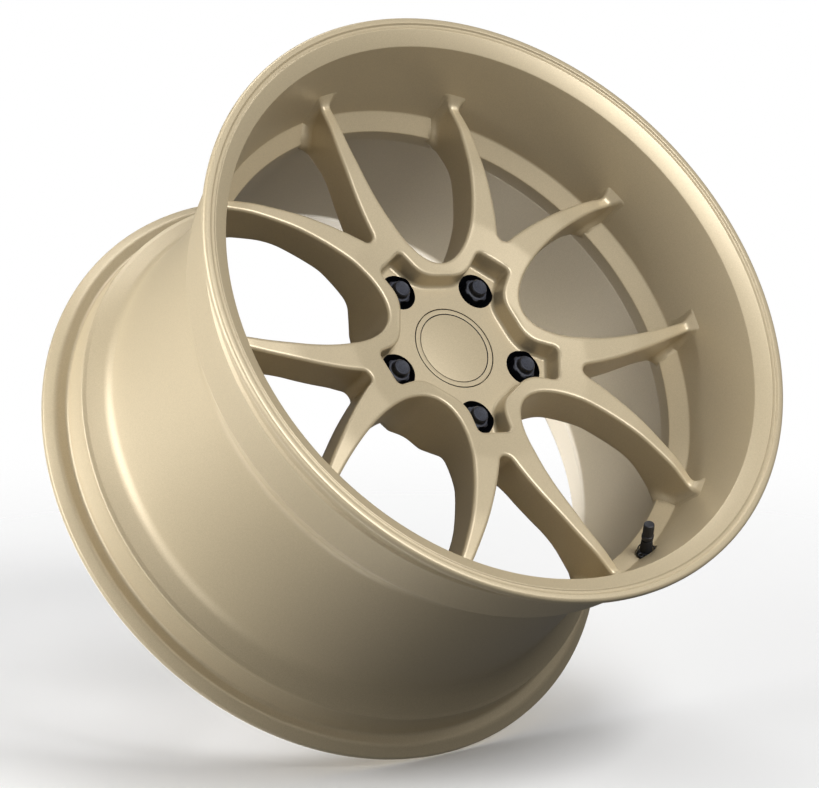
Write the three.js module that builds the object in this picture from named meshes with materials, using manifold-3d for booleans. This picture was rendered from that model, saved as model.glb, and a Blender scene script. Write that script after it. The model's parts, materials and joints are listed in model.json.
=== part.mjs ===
// Forged racing wheel rim, 18 x 10.5 inch, with five lug nuts, a centre cap and a tyre valve.
// The wheel stands upright and spins about Y. Its outboard face looks towards -Y, one lug hole
// points straight up (+Z) and the valve hangs at the bottom (-Z). Sizes are in millimetres.
import * as THREE from 'three';
import { mergeVertices } from 'three/addons/utils/BufferGeometryUtils.js';
import Module from 'manifold-3d';

const wasm = await Module();
wasm.setup();

const DEG = Math.PI / 180;

// ---- Driving sizes -------------------------------------------------------------------------

const clearance = 0.3;            // between pieces that rest on or pass through each other
const rimSegments = 60;           // facets round the rim; a multiple of ten keeps the spokes on them
const hubSegments = 40;
const capSegments = 36;
const smallSegments = 20;         // facets round the small turned pieces

const rim = {
  beadSeatRadius: 231.0,
  beadSeatWidth: 21.5,
  beadSeatTaper: 5,               // degrees
  humpHeight: 1.4,
  humpWidth: 2.5,
  humpRamp: 2.0,
  innerWidth: 266.7,              // between the tyre faces of the two flanges
  flangeHeight: 17.3,
  flangeCurl: 8.3,                // radius of the flange's tyre face, where it curls over
  flangeLip: 12.15,               // axial width of each flange outside its tyre face
  edgeRound: 3.5,
  lipLand: 5.4,                   // flat land between the flange's edge and the lip groove
  grooveWidth: 4.4,
  grooveDepth: 1.7,
  lipFaceWidth: 12.5,             // sloping painted face inside the lip groove
  lipFaceDepth: 8.2,
  lipFaceRise: 0.9,               // how far the sloping face's top stands behind the land
  dishTaper: 12.2,                // how much the dish narrows from the lip to the ledge
  ledgeWidth: 13.0,
  ledgeDepth: 9.75,
  ledgeY: -62.6,                  // where the dish wall meets the ledge
  waistLength: 12.0,              // straight inside stretch behind the ledge
  waistStep: 0.5,
  wellDepth: 25.0,                // drop centre below the bead seat
  wellWall: 6.2,
  landDrop: 3.4,                  // the lands either side of the well, below the bead seat
  wallTopOutset: 9.4,             // outboard side wall of the well, its top outboard of the ledge
  wallFootInset: 16.6,
  wellRampInset: 41.35,           // foot of the inboard ramp out of the well, from the tyre face
  wellRampDrop: 18.0,
  innerStepY: 30.5,               // inboard step in the barrel, back from the inboard tyre face
  innerStepDrop: 17.0,
  backDrop: 9.0,                  // inside of the inboard end, below the bead seat
  backFlare: 12.0,
};

const hub = {
  lugCount: 5,
  lugCircleRadius: 60.0,
  mountY: -25.0,                  // mounting face, 25 mm outboard of the middle plane
  boreRadius: 36.3,
  boreDepth: 15.0,
  padReach: 13.0,                 // mounting pad, beyond the lug circle
  floorY: -69.6,                  // pocket floor, flush with the centre cap
  collarY: -85.8,                 // front of the raised collar between the lobes
  collarRadius: 58.0,
  collarWidth: 10.5,              // between the pocket and the end of each wide window
  lobeReach: 21.0,                // top of each pocket lobe, beyond the lug circle
  lobeWidth: 29.0,
  lobeFlare: 0.9,
  lobeCorner: 4.5,
  lobeFoot: 2.0,                  // where a lobe's sides start to swing out, beyond the lug circle
  collarEase: 8.2,                // how gently they swing round the collar
  splitReach: 3.4,                // the hub solid hands over to the spoke solids above the lobes
  neckBackY: -48.0,
  backCorner: 3.0,
};

const spoke = {
  windowStartRadius: 65.5,        // inner end of the wide windows
  windowInset: 1.5,               // the wide window is widest this far outside the ledge's edge
  crotchReach: 17.6,              // inner end of the narrow window inside each Y, from the split
  crotchRound: 6.0,
  crotchAngle: 23,                // direction of its sides where they leave that round end
  armAngle: 38,                   // and where they run out over the rim
  tipAngle: 18.9,                 // each arm's centre line at the rim, from its lug
  armTipWidth: 9.0,
  narrowFlare: 3.7,               // extra half width of the narrow window at the rim
  narrowReach: 6.0,               // how far past the ledge's edge its sides stay curved
  narrowBend: [0.286, 0.433],     // where its sides bend, as shares of their width and length
  frontY: -92.1,
  shoulderReach: 20.6,            // end of the hub's cone and start of the flat face, from the split
  shoulderY: -91.1,
  breakInset: 35.0,               // from the dish wall in to where the face starts to fall away
  tipY: -83.2,
  footY: -90.0,
  footReach: 4.6,
  backY: -60.0,
  backSlope: 1.0,
  backNearRimY: -46.5,
  backRound: 6.0,
};

const lug = {
  holeRadius: 14.6,
  seatY: -44.0,                   // top of the conical seat
  seatHalfAngle: 30,
  studHoleRadius: 7.5,
};

const nut = {
  proud: 7.4,                     // how far the nut stands out of the pocket floor
  crownRadius: 6.75,
  crownHeight: 5.0,
  crownChamfer: 0.9,
  splineRadius: 9.3,
  splineLobe: 0.7,
  splineCount: 6,
  flangeRadius: 12.4,
  flangeHeight: 3.2,
  shankLength: 12.0,
  shankWall: 2.0,
  threadRadius: 6.2,
  threadDepth: 30.0,
};

const seatRing = {
  height: 6.0,                    // straight part above its cone
  footRadius: 9.2,
};

const cap = {
  radius: 33.4,
  rimHeight: 4.7,
  insertRadius: 28.9,
  insertThickness: 1.6,
  plateThickness: 2.6,
  legOuterRadius: 29.2,
  legWall: 1.3,
  legLength: 13.4,
  barbHeight: 0.6,
  barbLength: 5.0,
  catchGroove: 1.4,               // depth of the groove in the hub that the barbs snap into
  legCount: 6,
  legGap: 9.0,
  wireRadius: 0.8,
};

const valve = {
  aroundAngle: 181.75,            // from the lug that points up
  tilt: 60,                       // stem leans this far from radial towards the outboard side
  seatDepth: 1.6,                 // the seat is sunk this far below the ledge corner
  seatRadius: 8.2,
  holeRadius: 5.75,
  wallGrip: 4.6,
  bodyBaseRadius: 5.1,
  bodyTopRadius: 4.3,
  bodyLength: 16.5,
  shoulderRadius: 6.9,
  shoulderHeight: 1.6,
  bulbRadius: 7.6,
  bulbLength: 8.0,
  tubeRadius: 2.9,
  tubeBore: 1.9,
  tubeLength: 8.0,                // standing out of the rubber body
  capRadius: 4.15,
  capLength: 15.5,
  capCollarRadius: 4.75,
  capCollarHeight: 2.2,
  sealThickness: 1.0,
  ringHeight: 6.0,
  ringRadius: 6.4,
  ringWire: 0.5,
  eyeRadius: 1.9,
};

const core = {
  barrelRadius: 1.6,
  barrelLength: 5.0,
  pinRadius: 0.45,
  pinLength: 14.5,
  pinProud: 1.2,
  headRadius: 1.1,
  headHeight: 1.2,
  sealThickness: 1.2,
  springRadius: 1.15,
  springWire: 0.18,
  springTurns: 5,
  springLength: 4.0,
};

// ---- Finishes ------------------------------------------------------------------------------

const finishes = {
  paint: { color: 0xbfb393, roughness: 0.42, metalness: 0.25 },
  blackSteel: { color: 0x14151a, roughness: 0.38, metalness: 0.6 },
  blackPlastic: { color: 0x17171b, roughness: 0.45, metalness: 0.0 },
  rubber: { color: 0x0d0d0e, roughness: 0.8, metalness: 0.0 },
  brass: { color: 0xb08d4a, roughness: 0.3, metalness: 0.9 },
  springSteel: { color: 0x8a8c90, roughness: 0.3, metalness: 0.9 },
};

// ---- Derived sizes -------------------------------------------------------------------------

const flangeRadius = rim.beadSeatRadius + rim.flangeHeight;
const tyreFaceY = rim.innerWidth / 2;
const edgeY = tyreFaceY + rim.flangeLip;
const lipGrooveRadius = flangeRadius - rim.lipLand;
const lipFaceTop = lipGrooveRadius - rim.grooveWidth;
const dishFrontRadius = lipFaceTop - rim.lipFaceWidth;
const dishFrontY = -edgeY + rim.lipFaceDepth;
const dishBackRadius = dishFrontRadius - rim.dishTaper;
const ledgeInnerRadius = dishBackRadius - rim.ledgeWidth;
const ledgeInnerY = rim.ledgeY + rim.ledgeDepth;
const waistY = ledgeInnerY + rim.waistLength;
const wellRadius = rim.beadSeatRadius - rim.wellDepth;
const lugStep = 360 / hub.lugCount;
const padRadius = hub.lugCircleRadius + hub.padReach;
const lobeRadius = hub.lugCircleRadius + hub.lobeReach;
const splitRadius = lobeRadius + hub.splitReach;
const crotchRadius = splitRadius + spoke.crotchReach;
const shoulderRadius = splitRadius + spoke.shoulderReach;
const wideCentre = ledgeInnerRadius + spoke.windowInset;
const wideReach = wideCentre - spoke.windowStartRadius;
const wideHalf = wideCentre * Math.sin((lugStep / 2 - spoke.tipAngle) * DEG) - spoke.armTipWidth / 2;
const coneHeight = (lug.holeRadius - lug.studHoleRadius) / Math.tan(lug.seatHalfAngle * DEG);

const dishRadiusAt = (y) => dishBackRadius
  + rim.dishTaper * (rim.ledgeY - y) / (rim.ledgeY - dishFrontY);

// ---- Helpers -------------------------------------------------------------------------------

const point = (x, y) => new THREE.Vector2(x, y);

// One welded closed solid, facing outward, from any three.js geometry.
function solid(geometry) {
  const bare = geometry.clone();
  bare.deleteAttribute('normal');
  bare.deleteAttribute('uv');
  const welded = mergeVertices(bare, 1e-4);
  const positions = welded.attributes.position.array;
  const source = welded.index.array;
  const triangles = [];
  let volume = 0;
  for (let i = 0; i < source.length; i += 3) {
    const [a, b, c] = source.slice(i, i + 3);
    if (a === b || b === c || c === a) continue;
    triangles.push(a, b, c);
    const corners = [a, b, c].map((n) => new THREE.Vector3().fromArray(positions, 3 * n));
    volume += corners[0].dot(corners[1].clone().cross(corners[2])) / 6;
  }
  if (volume < 0) triangles.reverse();
  return new wasm.Manifold(new wasm.Mesh({
    numProp: 3,
    vertProperties: new Float32Array(positions),
    triVerts: new Uint32Array(triangles),
  }));
}

function toGeometry(manifold) {
  const mesh = manifold.getMesh();
  const geometry = new THREE.BufferGeometry();
  geometry.setAttribute('position', new THREE.BufferAttribute(new Float32Array(mesh.vertProperties), 3));
  geometry.setIndex(new THREE.BufferAttribute(new Uint32Array(mesh.triVerts), 1));
  geometry.computeVertexNormals();
  return geometry;
}

// A ring or disc turned about Y from a profile of [radius, y] pairs, closed on itself.
function turned(profile, segments = smallSegments) {
  const points = profile.map(([r, y]) => point(r, y));
  const open = points[0].x > 0 || points[points.length - 1].x > 0;
  if (open) points.push(points[0].clone());
  return solid(new THREE.LatheGeometry(points, segments));
}

function cylinderAlongY(radius, fromY, toY, segments = smallSegments) {
  const geometry = new THREE.CylinderGeometry(radius, radius, Math.abs(toY - fromY), segments);
  geometry.translate(0, (fromY + toY) / 2, 0);
  return solid(geometry);
}

// A flat outline drawn in X and Z, given thickness along Y.
function plate(shape, fromY, toY, curveSegments = 12) {
  const depth = toY - fromY;
  const geometry = new THREE.ExtrudeGeometry(shape, { depth, bevelEnabled: false, curveSegments });
  geometry.rotateX(Math.PI / 2);
  geometry.translate(0, toY, 0);
  return solid(geometry);
}

function aboutY(manifold, degrees) {
  return moved(manifold, new THREE.Matrix4().makeRotationY(degrees * DEG));
}

function moved(manifold, matrix) {
  const geometry = toGeometry(manifold);
  geometry.applyMatrix4(matrix);
  return solid(geometry);
}

const model = new THREE.Group();
model.name = 'forged_racing_wheel_rim';

function addPiece(name, manifold, finish) {
  const mesh = new THREE.Mesh(toGeometry(manifold), new THREE.MeshStandardMaterial(finishes[finish]));
  mesh.name = name;
  model.add(mesh);
}

// ---- Barrel --------------------------------------------------------------------------------

// The tyre face of a flange, from the bead seat's corner out to where it curls over.
function flangeCurl(side) {
  const points = [];
  for (const degrees of [0, 30, 60, 90]) {
    const swing = 1 - Math.cos(degrees * DEG);
    const r = flangeRadius - rim.flangeCurl * (1 - swing);
    const y = tyreFaceY + rim.flangeCurl * swing * Math.sin(degrees * DEG);
    points.push([r, side * y]);
  }
  return points;
}

// The rounded outer edge of a flange, from its tip round to its end face.
function flangeEdge(side) {
  const points = [];
  for (const degrees of [0, 45, 90]) {
    const r = flangeRadius - rim.edgeRound * (1 - Math.cos(degrees * DEG));
    const y = edgeY - rim.edgeRound * (1 - Math.sin(degrees * DEG));
    points.push([r, side * y]);
  }
  return points;
}

// Hump, bead seat and flange on one side, from the well outwards.
function beadSide(side) {
  const seatFootY = tyreFaceY - rim.beadSeatWidth;
  const seatFoot = rim.beadSeatRadius - rim.beadSeatWidth * Math.tan(rim.beadSeatTaper * DEG);
  const humpY = seatFootY - rim.humpRamp - rim.humpWidth;
  return [
    [rim.beadSeatRadius - rim.landDrop, side * (humpY - rim.humpRamp)],
    [seatFoot + rim.humpHeight, side * humpY],
    [seatFoot + rim.humpHeight, side * (humpY + rim.humpWidth)],
    [seatFoot, side * seatFootY],
    [rim.beadSeatRadius, side * (tyreFaceY - 2)],
    [rim.beadSeatRadius + 2, side * tyreFaceY],
    ...flangeCurl(side),
  ];
}

function barrelProfile() {
  const innerStepRadius = rim.beadSeatRadius - rim.innerStepDrop;
  const innerStepY = tyreFaceY - rim.innerStepY;
  const rampFootY = tyreFaceY - rim.wellRampInset;
  const rampFootRadius = rim.beadSeatRadius - rim.wellRampDrop;
  const backRadius = rim.beadSeatRadius - rim.backDrop;
  const landRadius = rim.beadSeatRadius - rim.landDrop;
  return [
    // outboard face, from the flange tip in over the groove and the sloping lip face
    ...flangeEdge(-1),
    [lipGrooveRadius, -edgeY],
    [lipGrooveRadius - 1, -edgeY + rim.grooveDepth],
    [lipFaceTop + 1, -edgeY + rim.grooveDepth],
    [lipFaceTop, -edgeY + rim.lipFaceRise],
    [dishFrontRadius + 1, dishFrontY - 0.6],
    [dishFrontRadius, dishFrontY + 0.6],
    // dish wall, ledge and the inside of the barrel
    [dishBackRadius, rim.ledgeY],
    [ledgeInnerRadius, ledgeInnerY],
    [ledgeInnerRadius - rim.waistStep, waistY],
    [rampFootRadius - rim.wellWall, rampFootY],
    [innerStepRadius, innerStepY],
    [backRadius, tyreFaceY - 2],
    [backRadius + rim.backFlare - 4, edgeY - 2],
    [backRadius + rim.backFlare, edgeY],
    // inboard flange, then back outboard over the tyre side
    ...flangeEdge(1).reverse(),
    ...beadSide(1).reverse(),
    [rampFootRadius, rampFootY],
    [wellRadius + 0.6, waistY + rim.waistLength],
    [wellRadius, waistY],
    [wellRadius + 3, rim.ledgeY + rim.wallFootInset],
    [landRadius - 1, rim.ledgeY - rim.wallTopOutset],
    [landRadius, rim.ledgeY - rim.wallTopOutset - 2],
    ...beadSide(-1),
  ];
}

const valveSeatRadius = dishBackRadius + valve.seatDepth * Math.cos(valve.tilt * DEG);
const valveSeatY = rim.ledgeY + valve.seatDepth * Math.sin(valve.tilt * DEG);

// Places a solid turned about Y, whose seat is at y = 0, along the leaning valve stem.
function onValve(manifold) {
  const lean = new THREE.Matrix4().makeRotationX((180 + 90 - valve.tilt) * DEG);
  const place = new THREE.Matrix4().makeTranslation(0, valveSeatY, valveSeatRadius);
  const around = new THREE.Matrix4().makeRotationY(valve.aroundAngle * DEG);
  return moved(manifold, around.multiply(place).multiply(lean));
}

function makeBarrel() {
  const hole = cylinderAlongY(valve.holeRadius, -30, 30);
  const recess = cylinderAlongY(valve.seatRadius, 0, 30);
  const tyreSideFace = cylinderAlongY(valve.bulbRadius + 1, -30, -valve.wallGrip);
  return turned(barrelProfile(), rimSegments)
    .subtract(onValve(hole))
    .subtract(onValve(recess))
    .subtract(onValve(tyreSideFace));
}

// ---- Hub and spokes ------------------------------------------------------------------------

// Straight-line interpolation between the hub collar and the spoke shoulder.
function frontYAt(radius) {
  const t = (radius - hub.collarRadius) / (shoulderRadius - hub.collarRadius);
  return hub.collarY + t * (spoke.shoulderY - hub.collarY);
}

// The wide window between two Ys: half an ellipse towards the hub, straight sides beyond.
function wideWindow() {
  const shape = new THREE.Shape();
  shape.moveTo(wideHalf, flangeRadius);
  shape.lineTo(wideHalf, wideCentre);
  shape.absellipse(0, wideCentre, wideHalf, wideReach, 0, -Math.PI, true);
  shape.lineTo(-wideHalf, flangeRadius);
  return shape;
}

// The narrow window inside one Y: a round end that opens along two gentle curves.
function narrowWindow() {
  const tip = spoke.tipAngle * DEG;
  const armEdge = spoke.armTipWidth / 2;
  const endX = ledgeInnerRadius * Math.sin(tip) - armEdge * Math.cos(tip) + spoke.narrowFlare;
  const endZ = ledgeInnerRadius * Math.cos(tip) + armEdge * Math.sin(tip) + spoke.narrowReach;
  const turn = spoke.crotchAngle * DEG;
  const roundZ = crotchRadius + spoke.crotchRound;
  const startX = spoke.crotchRound * Math.cos(turn);
  const startZ = roundZ - spoke.crotchRound * Math.sin(turn);
  const bendX = startX + (endX - startX) * spoke.narrowBend[0];
  const bendZ = startZ + (endZ - startZ) * spoke.narrowBend[1];
  const beyond = rim.ledgeWidth * 4;
  const farX = endX + beyond * Math.sin(spoke.armAngle * DEG);
  const farZ = endZ + beyond * Math.cos(spoke.armAngle * DEG);
  const shape = new THREE.Shape();
  shape.moveTo(farX, farZ);
  shape.lineTo(endX, endZ);
  shape.quadraticCurveTo(bendX, bendZ, startX, startZ);
  shape.absarc(0, roundZ, spoke.crotchRound, -turn, turn - Math.PI, true);
  shape.quadraticCurveTo(-bendX, bendZ, -endX, endZ);
  shape.lineTo(-farX, farZ);
  return shape;
}

function windowCutter(shape, degrees) {
  return aboutY(plate(shape, spoke.frontY - 20, hub.mountY + 15), degrees);
}

// The star-shaped pocket: a lobe at each lug, whose sides swing round the collar to the next one.
function pocketShape() {
  const half = hub.lobeWidth / 2;
  const corner = hub.lobeCorner;
  const footX = half + hub.lobeFlare;
  const footZ = hub.lugCircleRadius + hub.lobeFoot;
  const waist = spoke.windowStartRadius - hub.collarWidth;
  const middle = lugStep / 2 * DEG;
  const ease = hub.collarEase;
  const waistAt = point(waist * Math.sin(middle), waist * Math.cos(middle));
  const waistEase = point(waistAt.x - ease * Math.cos(middle), waistAt.y + ease * Math.sin(middle));
  const footEase = point(footX + ease * 0.06, footZ - ease);
  const shape = new THREE.Shape();
  for (let i = 0; i < hub.lugCount; i += 1) {
    const at = (x, z) => point(x, z).rotateAround(point(0, 0), -i * lugStep * DEG).toArray();
    if (i === 0) shape.moveTo(-waistAt.x, waistAt.y);
    shape.bezierCurveTo(
      ...at(-waistEase.x, waistEase.y),
      ...at(-footEase.x, footEase.y),
      ...at(-footX, footZ),
    );
    shape.lineTo(...at(-half, lobeRadius - corner));
    shape.quadraticCurveTo(...at(-half, lobeRadius), ...at(corner - half, lobeRadius));
    shape.lineTo(...at(half - corner, lobeRadius));
    shape.quadraticCurveTo(...at(half, lobeRadius), ...at(half, lobeRadius - corner));
    shape.lineTo(...at(footX, footZ));
    shape.bezierCurveTo(
      ...at(footEase.x, footEase.y),
      ...at(waistEase.x, waistEase.y),
      ...at(waistAt.x, waistAt.y),
    );
  }
  return shape;
}

function makeHub() {
  const split = splitRadius;
  const capBore = cap.legOuterRadius + cap.barbHeight + clearance;
  const capRecess = cap.radius + clearance;
  const capShelfY = hub.floorY + cap.rimHeight + clearance;
  const grooveY = hub.floorY + cap.legLength;
  const profile = [
    [capRecess, hub.collarY],
    [hub.collarRadius, hub.collarY],
    [split, frontYAt(split)],
    [split, hub.neckBackY],
    [padRadius + hub.backCorner, (hub.neckBackY + hub.mountY) / 2],
    [padRadius + hub.backCorner - 1, hub.mountY - hub.backCorner],
    [padRadius, hub.mountY],
    [hub.boreRadius + 1, hub.mountY],
    [hub.boreRadius, hub.mountY - 1],
    [hub.boreRadius, hub.mountY - hub.boreDepth],
    [capBore, hub.mountY - hub.boreDepth],
    [capBore, grooveY + 4],
    [capBore + cap.catchGroove, grooveY + 4 - cap.catchGroove],
    [capBore + cap.catchGroove, grooveY],
    [capBore, grooveY - cap.catchGroove],
    [capBore, capShelfY],
    [capRecess, capShelfY],
  ];
  let body = turned(profile, hubSegments);
  body = body.subtract(plate(pocketShape(), hub.collarY - 10, hub.floorY, 8));
  const lugHole = turned([
    [0, hub.floorY - 10],
    [lug.holeRadius, hub.floorY - 10],
    [lug.holeRadius, lug.seatY],
    [lug.studHoleRadius, lug.seatY + coneHeight],
    [lug.studHoleRadius, hub.mountY + 5],
    [0, hub.mountY + 5],
  ]);
  for (let i = 0; i < hub.lugCount; i += 1) {
    const placed = moved(lugHole, new THREE.Matrix4().makeTranslation(0, 0, hub.lugCircleRadius));
    body = body.subtract(aboutY(placed, i * lugStep));
    body = body.subtract(windowCutter(wideWindow(), (i + 0.5) * lugStep));
  }
  return body;
}

// One Y of the wheel: the stem at the hub, and two arms that end on the dish wall and ledge.
function makeSpoke() {
  const start = splitRadius + clearance;
  const gap = clearance;
  const breakRadius = dishRadiusAt(spoke.frontY) - spoke.breakInset;
  const footRadius = dishRadiusAt(spoke.footY) - gap;
  const span = ledgeInnerRadius - start;
  const profile = [
    [start, frontYAt(start)],
    [shoulderRadius, spoke.shoulderY],
    [breakRadius, spoke.frontY],
    [footRadius - spoke.footReach, spoke.tipY],
    [footRadius, spoke.footY],
    [dishBackRadius - gap, rim.ledgeY - gap / 3],
    [ledgeInnerRadius - gap, ledgeInnerY - gap],
    [ledgeInnerRadius - spoke.backRound / 5, spoke.backNearRimY],
    [ledgeInnerRadius - spoke.backRound, spoke.backNearRimY - spoke.backRound * 0.4],
    [start + span * 0.7, spoke.backY - spoke.backSlope],
    [start + span * 0.3, spoke.backY + spoke.backSlope],
    [start + span * 0.06, hub.neckBackY - 3],
    [start, hub.neckBackY],
  ];
  const wedge = new THREE.Shape();
  const far = 2 * flangeRadius;
  wedge.moveTo(0, 0);
  wedge.lineTo(-far * Math.tan(lugStep / 2 * DEG), far);
  wedge.lineTo(far * Math.tan(lugStep / 2 * DEG), far);
  return turned(profile, rimSegments)
    .intersect(plate(wedge, spoke.frontY - 20, hub.mountY + 15))
    .subtract(windowCutter(wideWindow(), lugStep / 2))
    .subtract(windowCutter(wideWindow(), -lugStep / 2))
    .subtract(windowCutter(narrowWindow(), 0));
}

// ---- Lug nuts ------------------------------------------------------------------------------

// Free-turning conical seat that stays still in the hole while its nut is turned.
function makeSeatRing() {
  const outer = lug.holeRadius - 2 * clearance;
  const coneTop = lug.seatY - clearance;
  const drop = (outer - seatRing.footRadius) / Math.tan(lug.seatHalfAngle * DEG);
  const bore = nut.threadRadius + nut.shankWall + clearance;
  return turned([
    [outer, coneTop - seatRing.height],
    [outer, coneTop],
    [seatRing.footRadius, coneTop + drop],
    [bore, coneTop + drop],
    [bore, coneTop - seatRing.height],
  ]);
}

// Closed nut with a splined barrel, a round crown, a flange and a shank inside the seat ring.
function makeNut() {
  const bottom = lug.seatY - clearance - seatRing.height - clearance;
  const top = hub.floorY - nut.proud;
  const shoulder = top + nut.crownHeight;
  const crown = turned([
    [0, top],
    [nut.crownRadius - nut.crownChamfer, top],
    [nut.crownRadius, top + nut.crownChamfer],
    [nut.crownRadius, shoulder + 2],
    [0, shoulder + 2],
  ]);
  const outline = new THREE.Shape();
  const steps = nut.splineCount * 4;
  for (let i = 0; i < steps; i += 1) {
    const angle = 2 * Math.PI * i / steps;
    const radius = nut.splineRadius + nut.splineLobe * Math.cos(nut.splineCount * angle);
    if (i === 0) outline.moveTo(radius, 0);
    else outline.lineTo(radius * Math.cos(angle), radius * Math.sin(angle));
  }
  const spline = plate(outline, shoulder, bottom - 1);
  const flange = cylinderAlongY(nut.flangeRadius, bottom - nut.flangeHeight, bottom);
  const shank = cylinderAlongY(nut.threadRadius + nut.shankWall, bottom - 1, bottom + nut.shankLength);
  const thread = turned([
    [0, bottom + nut.shankLength - nut.threadDepth],
    [nut.threadRadius, bottom + nut.shankLength - nut.threadDepth + 2],
    [nut.threadRadius, bottom + nut.shankLength + 1],
    [0, bottom + nut.shankLength + 1],
  ], 16);
  return crown.add(spline).add(flange).add(shank).subtract(thread);
}

// ---- Centre cap ----------------------------------------------------------------------------

function makeCapBody() {
  const face = hub.floorY;
  const pocketRadius = cap.insertRadius + clearance;
  const plateFront = face + cap.insertThickness + clearance;
  const plateBack = plateFront + cap.plateThickness;
  const legInner = cap.legOuterRadius - cap.legWall;
  const rimBack = face + cap.rimHeight;
  const legEnd = face + cap.rimHeight + cap.legLength;
  const body = turned([
    [0, plateFront],
    [pocketRadius, plateFront],
    [pocketRadius, face],
    [cap.radius, face],
    [cap.radius, rimBack],
    [cap.legOuterRadius, rimBack],
    [cap.legOuterRadius, legEnd - cap.barbLength],
    [cap.legOuterRadius + cap.barbHeight, legEnd - cap.barbLength * 0.7],
    [cap.legOuterRadius + cap.barbHeight, legEnd - cap.barbLength * 0.4],
    [legInner + cap.legWall / 2, legEnd],
    [legInner, legEnd],
    [legInner, plateBack],
    [0, plateBack],
  ], capSegments);
  let cut = body;
  for (let i = 0; i < cap.legCount; i += 1) {
    const slot = new THREE.BoxGeometry(cap.legGap, cap.legLength + 2, 2 * cap.legWall + 4);
    slot.translate(0, rimBack + 0.5 + (cap.legLength + 2) / 2, cap.legOuterRadius);
    cut = cut.subtract(aboutY(solid(slot), i * 360 / cap.legCount));
  }
  return cut;
}

function makeCapInsert() {
  return cylinderAlongY(cap.insertRadius, hub.floorY, hub.floorY + cap.insertThickness, capSegments);
}

function makeCapWire() {
  const ringRadius = cap.legOuterRadius - cap.legWall - cap.wireRadius - clearance;
  const ring = new THREE.TorusGeometry(ringRadius, cap.wireRadius, 6, capSegments);
  ring.rotateX(Math.PI / 2);
  ring.translate(0, hub.floorY + cap.rimHeight + cap.legLength - 3.4, 0);
  return solid(ring);
}

// ---- Tyre valve ----------------------------------------------------------------------------
// Each piece is turned about Y with the seat at y = 0 and the cap end at +y, then leant over.

function makeValveBody() {
  const bore = valve.tubeRadius + clearance;
  const neck = valve.holeRadius - clearance;
  const grip = -valve.wallGrip - clearance;
  return turned([
    [bore, grip - valve.bulbLength],
    [valve.bulbRadius - 1.6, grip - valve.bulbLength],
    [valve.bulbRadius, grip - 1.2],
    [valve.bulbRadius, grip],
    [neck, grip],
    [neck, clearance],
    [valve.shoulderRadius, clearance],
    [valve.shoulderRadius - 0.4, clearance + valve.shoulderHeight],
    [valve.bodyBaseRadius, clearance + valve.shoulderHeight + 0.8],
    [valve.bodyTopRadius, valve.bodyLength],
    [bore, valve.bodyLength],
  ]);
}

function makeValveTube() {
  const bottom = -valve.wallGrip - valve.bulbLength + 2;
  const top = valve.bodyLength + valve.tubeLength;
  return turned([
    [valve.tubeBore, bottom],
    [valve.tubeRadius, bottom],
    [valve.tubeRadius, top - 0.5],
    [valve.tubeRadius - 0.5, top],
    [valve.tubeBore, top],
  ], 16);
}

function makeValveCap() {
  const open = valve.bodyLength + clearance;
  const top = open + valve.capLength;
  const bore = valve.tubeRadius + clearance;
  const ceiling = valve.bodyLength + valve.tubeLength + valve.sealThickness + 2 * clearance;
  return turned([
    [bore, open],
    [valve.capCollarRadius - 0.7, open],
    [valve.capCollarRadius - 0.7, open + 1.4],
    [valve.capCollarRadius, open + 2],
    [valve.capCollarRadius, open + 2 + valve.capCollarHeight],
    [valve.capRadius, open + 2.6 + valve.capCollarHeight],
    [valve.capRadius, top - 0.8],
    [valve.capRadius - 0.8, top],
    [0, top],
    [0, ceiling],
    [bore, ceiling],
  ]);
}

function makeCapSeal() {
  const bottom = valve.bodyLength + valve.tubeLength + clearance;
  return turned([
    [core.pinRadius + clearance, bottom],
    [valve.tubeRadius, bottom],
    [valve.tubeRadius, bottom + valve.sealThickness],
    [core.pinRadius + clearance, bottom + valve.sealThickness],
  ], 16);
}

// A loose wire ring that hangs against one side of the stem, with a small eye on that side.
function makeWireRing() {
  const bodyTaper = (valve.bodyBaseRadius - valve.bodyTopRadius) / valve.bodyLength;
  const bodyRadius = valve.bodyBaseRadius - bodyTaper * valve.ringHeight * 0.6;
  const hang = valve.ringRadius - valve.ringWire - bodyRadius - clearance;
  const ring = new THREE.TorusGeometry(valve.ringRadius, valve.ringWire, 5, 24);
  ring.rotateX(Math.PI / 2);
  ring.translate(hang, valve.ringHeight, 0);
  const eye = new THREE.TorusGeometry(valve.eyeRadius, valve.ringWire, 5, 12);
  eye.rotateX(Math.PI / 2);
  eye.translate(hang - valve.ringRadius - valve.eyeRadius, valve.ringHeight, 0);
  return solid(ring).add(solid(eye));
}

const coreTop = valve.bodyLength + valve.tubeLength - 1.5;

function makeCoreBarrel() {
  const bore = core.pinRadius + clearance;
  return turned([
    [bore, coreTop - core.barrelLength],
    [core.barrelRadius, coreTop - core.barrelLength],
    [core.barrelRadius, coreTop],
    [bore, coreTop],
  ], 12);
}

function makeCorePin() {
  const top = coreTop + core.pinProud;
  const bottom = top - core.pinLength;
  return turned([
    [0, bottom],
    [core.headRadius, bottom],
    [core.headRadius, bottom + core.headHeight],
    [core.pinRadius, bottom + core.headHeight + 0.4],
    [core.pinRadius, top],
    [0, top],
  ], 12);
}

function makeCoreSeal() {
  const top = coreTop - core.barrelLength - clearance;
  return turned([
    [core.pinRadius + clearance, top - core.sealThickness],
    [core.barrelRadius, top - core.sealThickness],
    [core.barrelRadius, top],
    [core.pinRadius + clearance, top],
  ], 12);
}

class Coil extends THREE.Curve {
  constructor(radius, length, turns) {
    super();
    this.radius = radius;
    this.length = length;
    this.turns = turns;
  }

  getPoint(t, target = new THREE.Vector3()) {
    const angle = 2 * Math.PI * this.turns * t;
    return target.set(this.radius * Math.cos(angle), this.length * t, this.radius * Math.sin(angle));
  }
}

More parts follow.
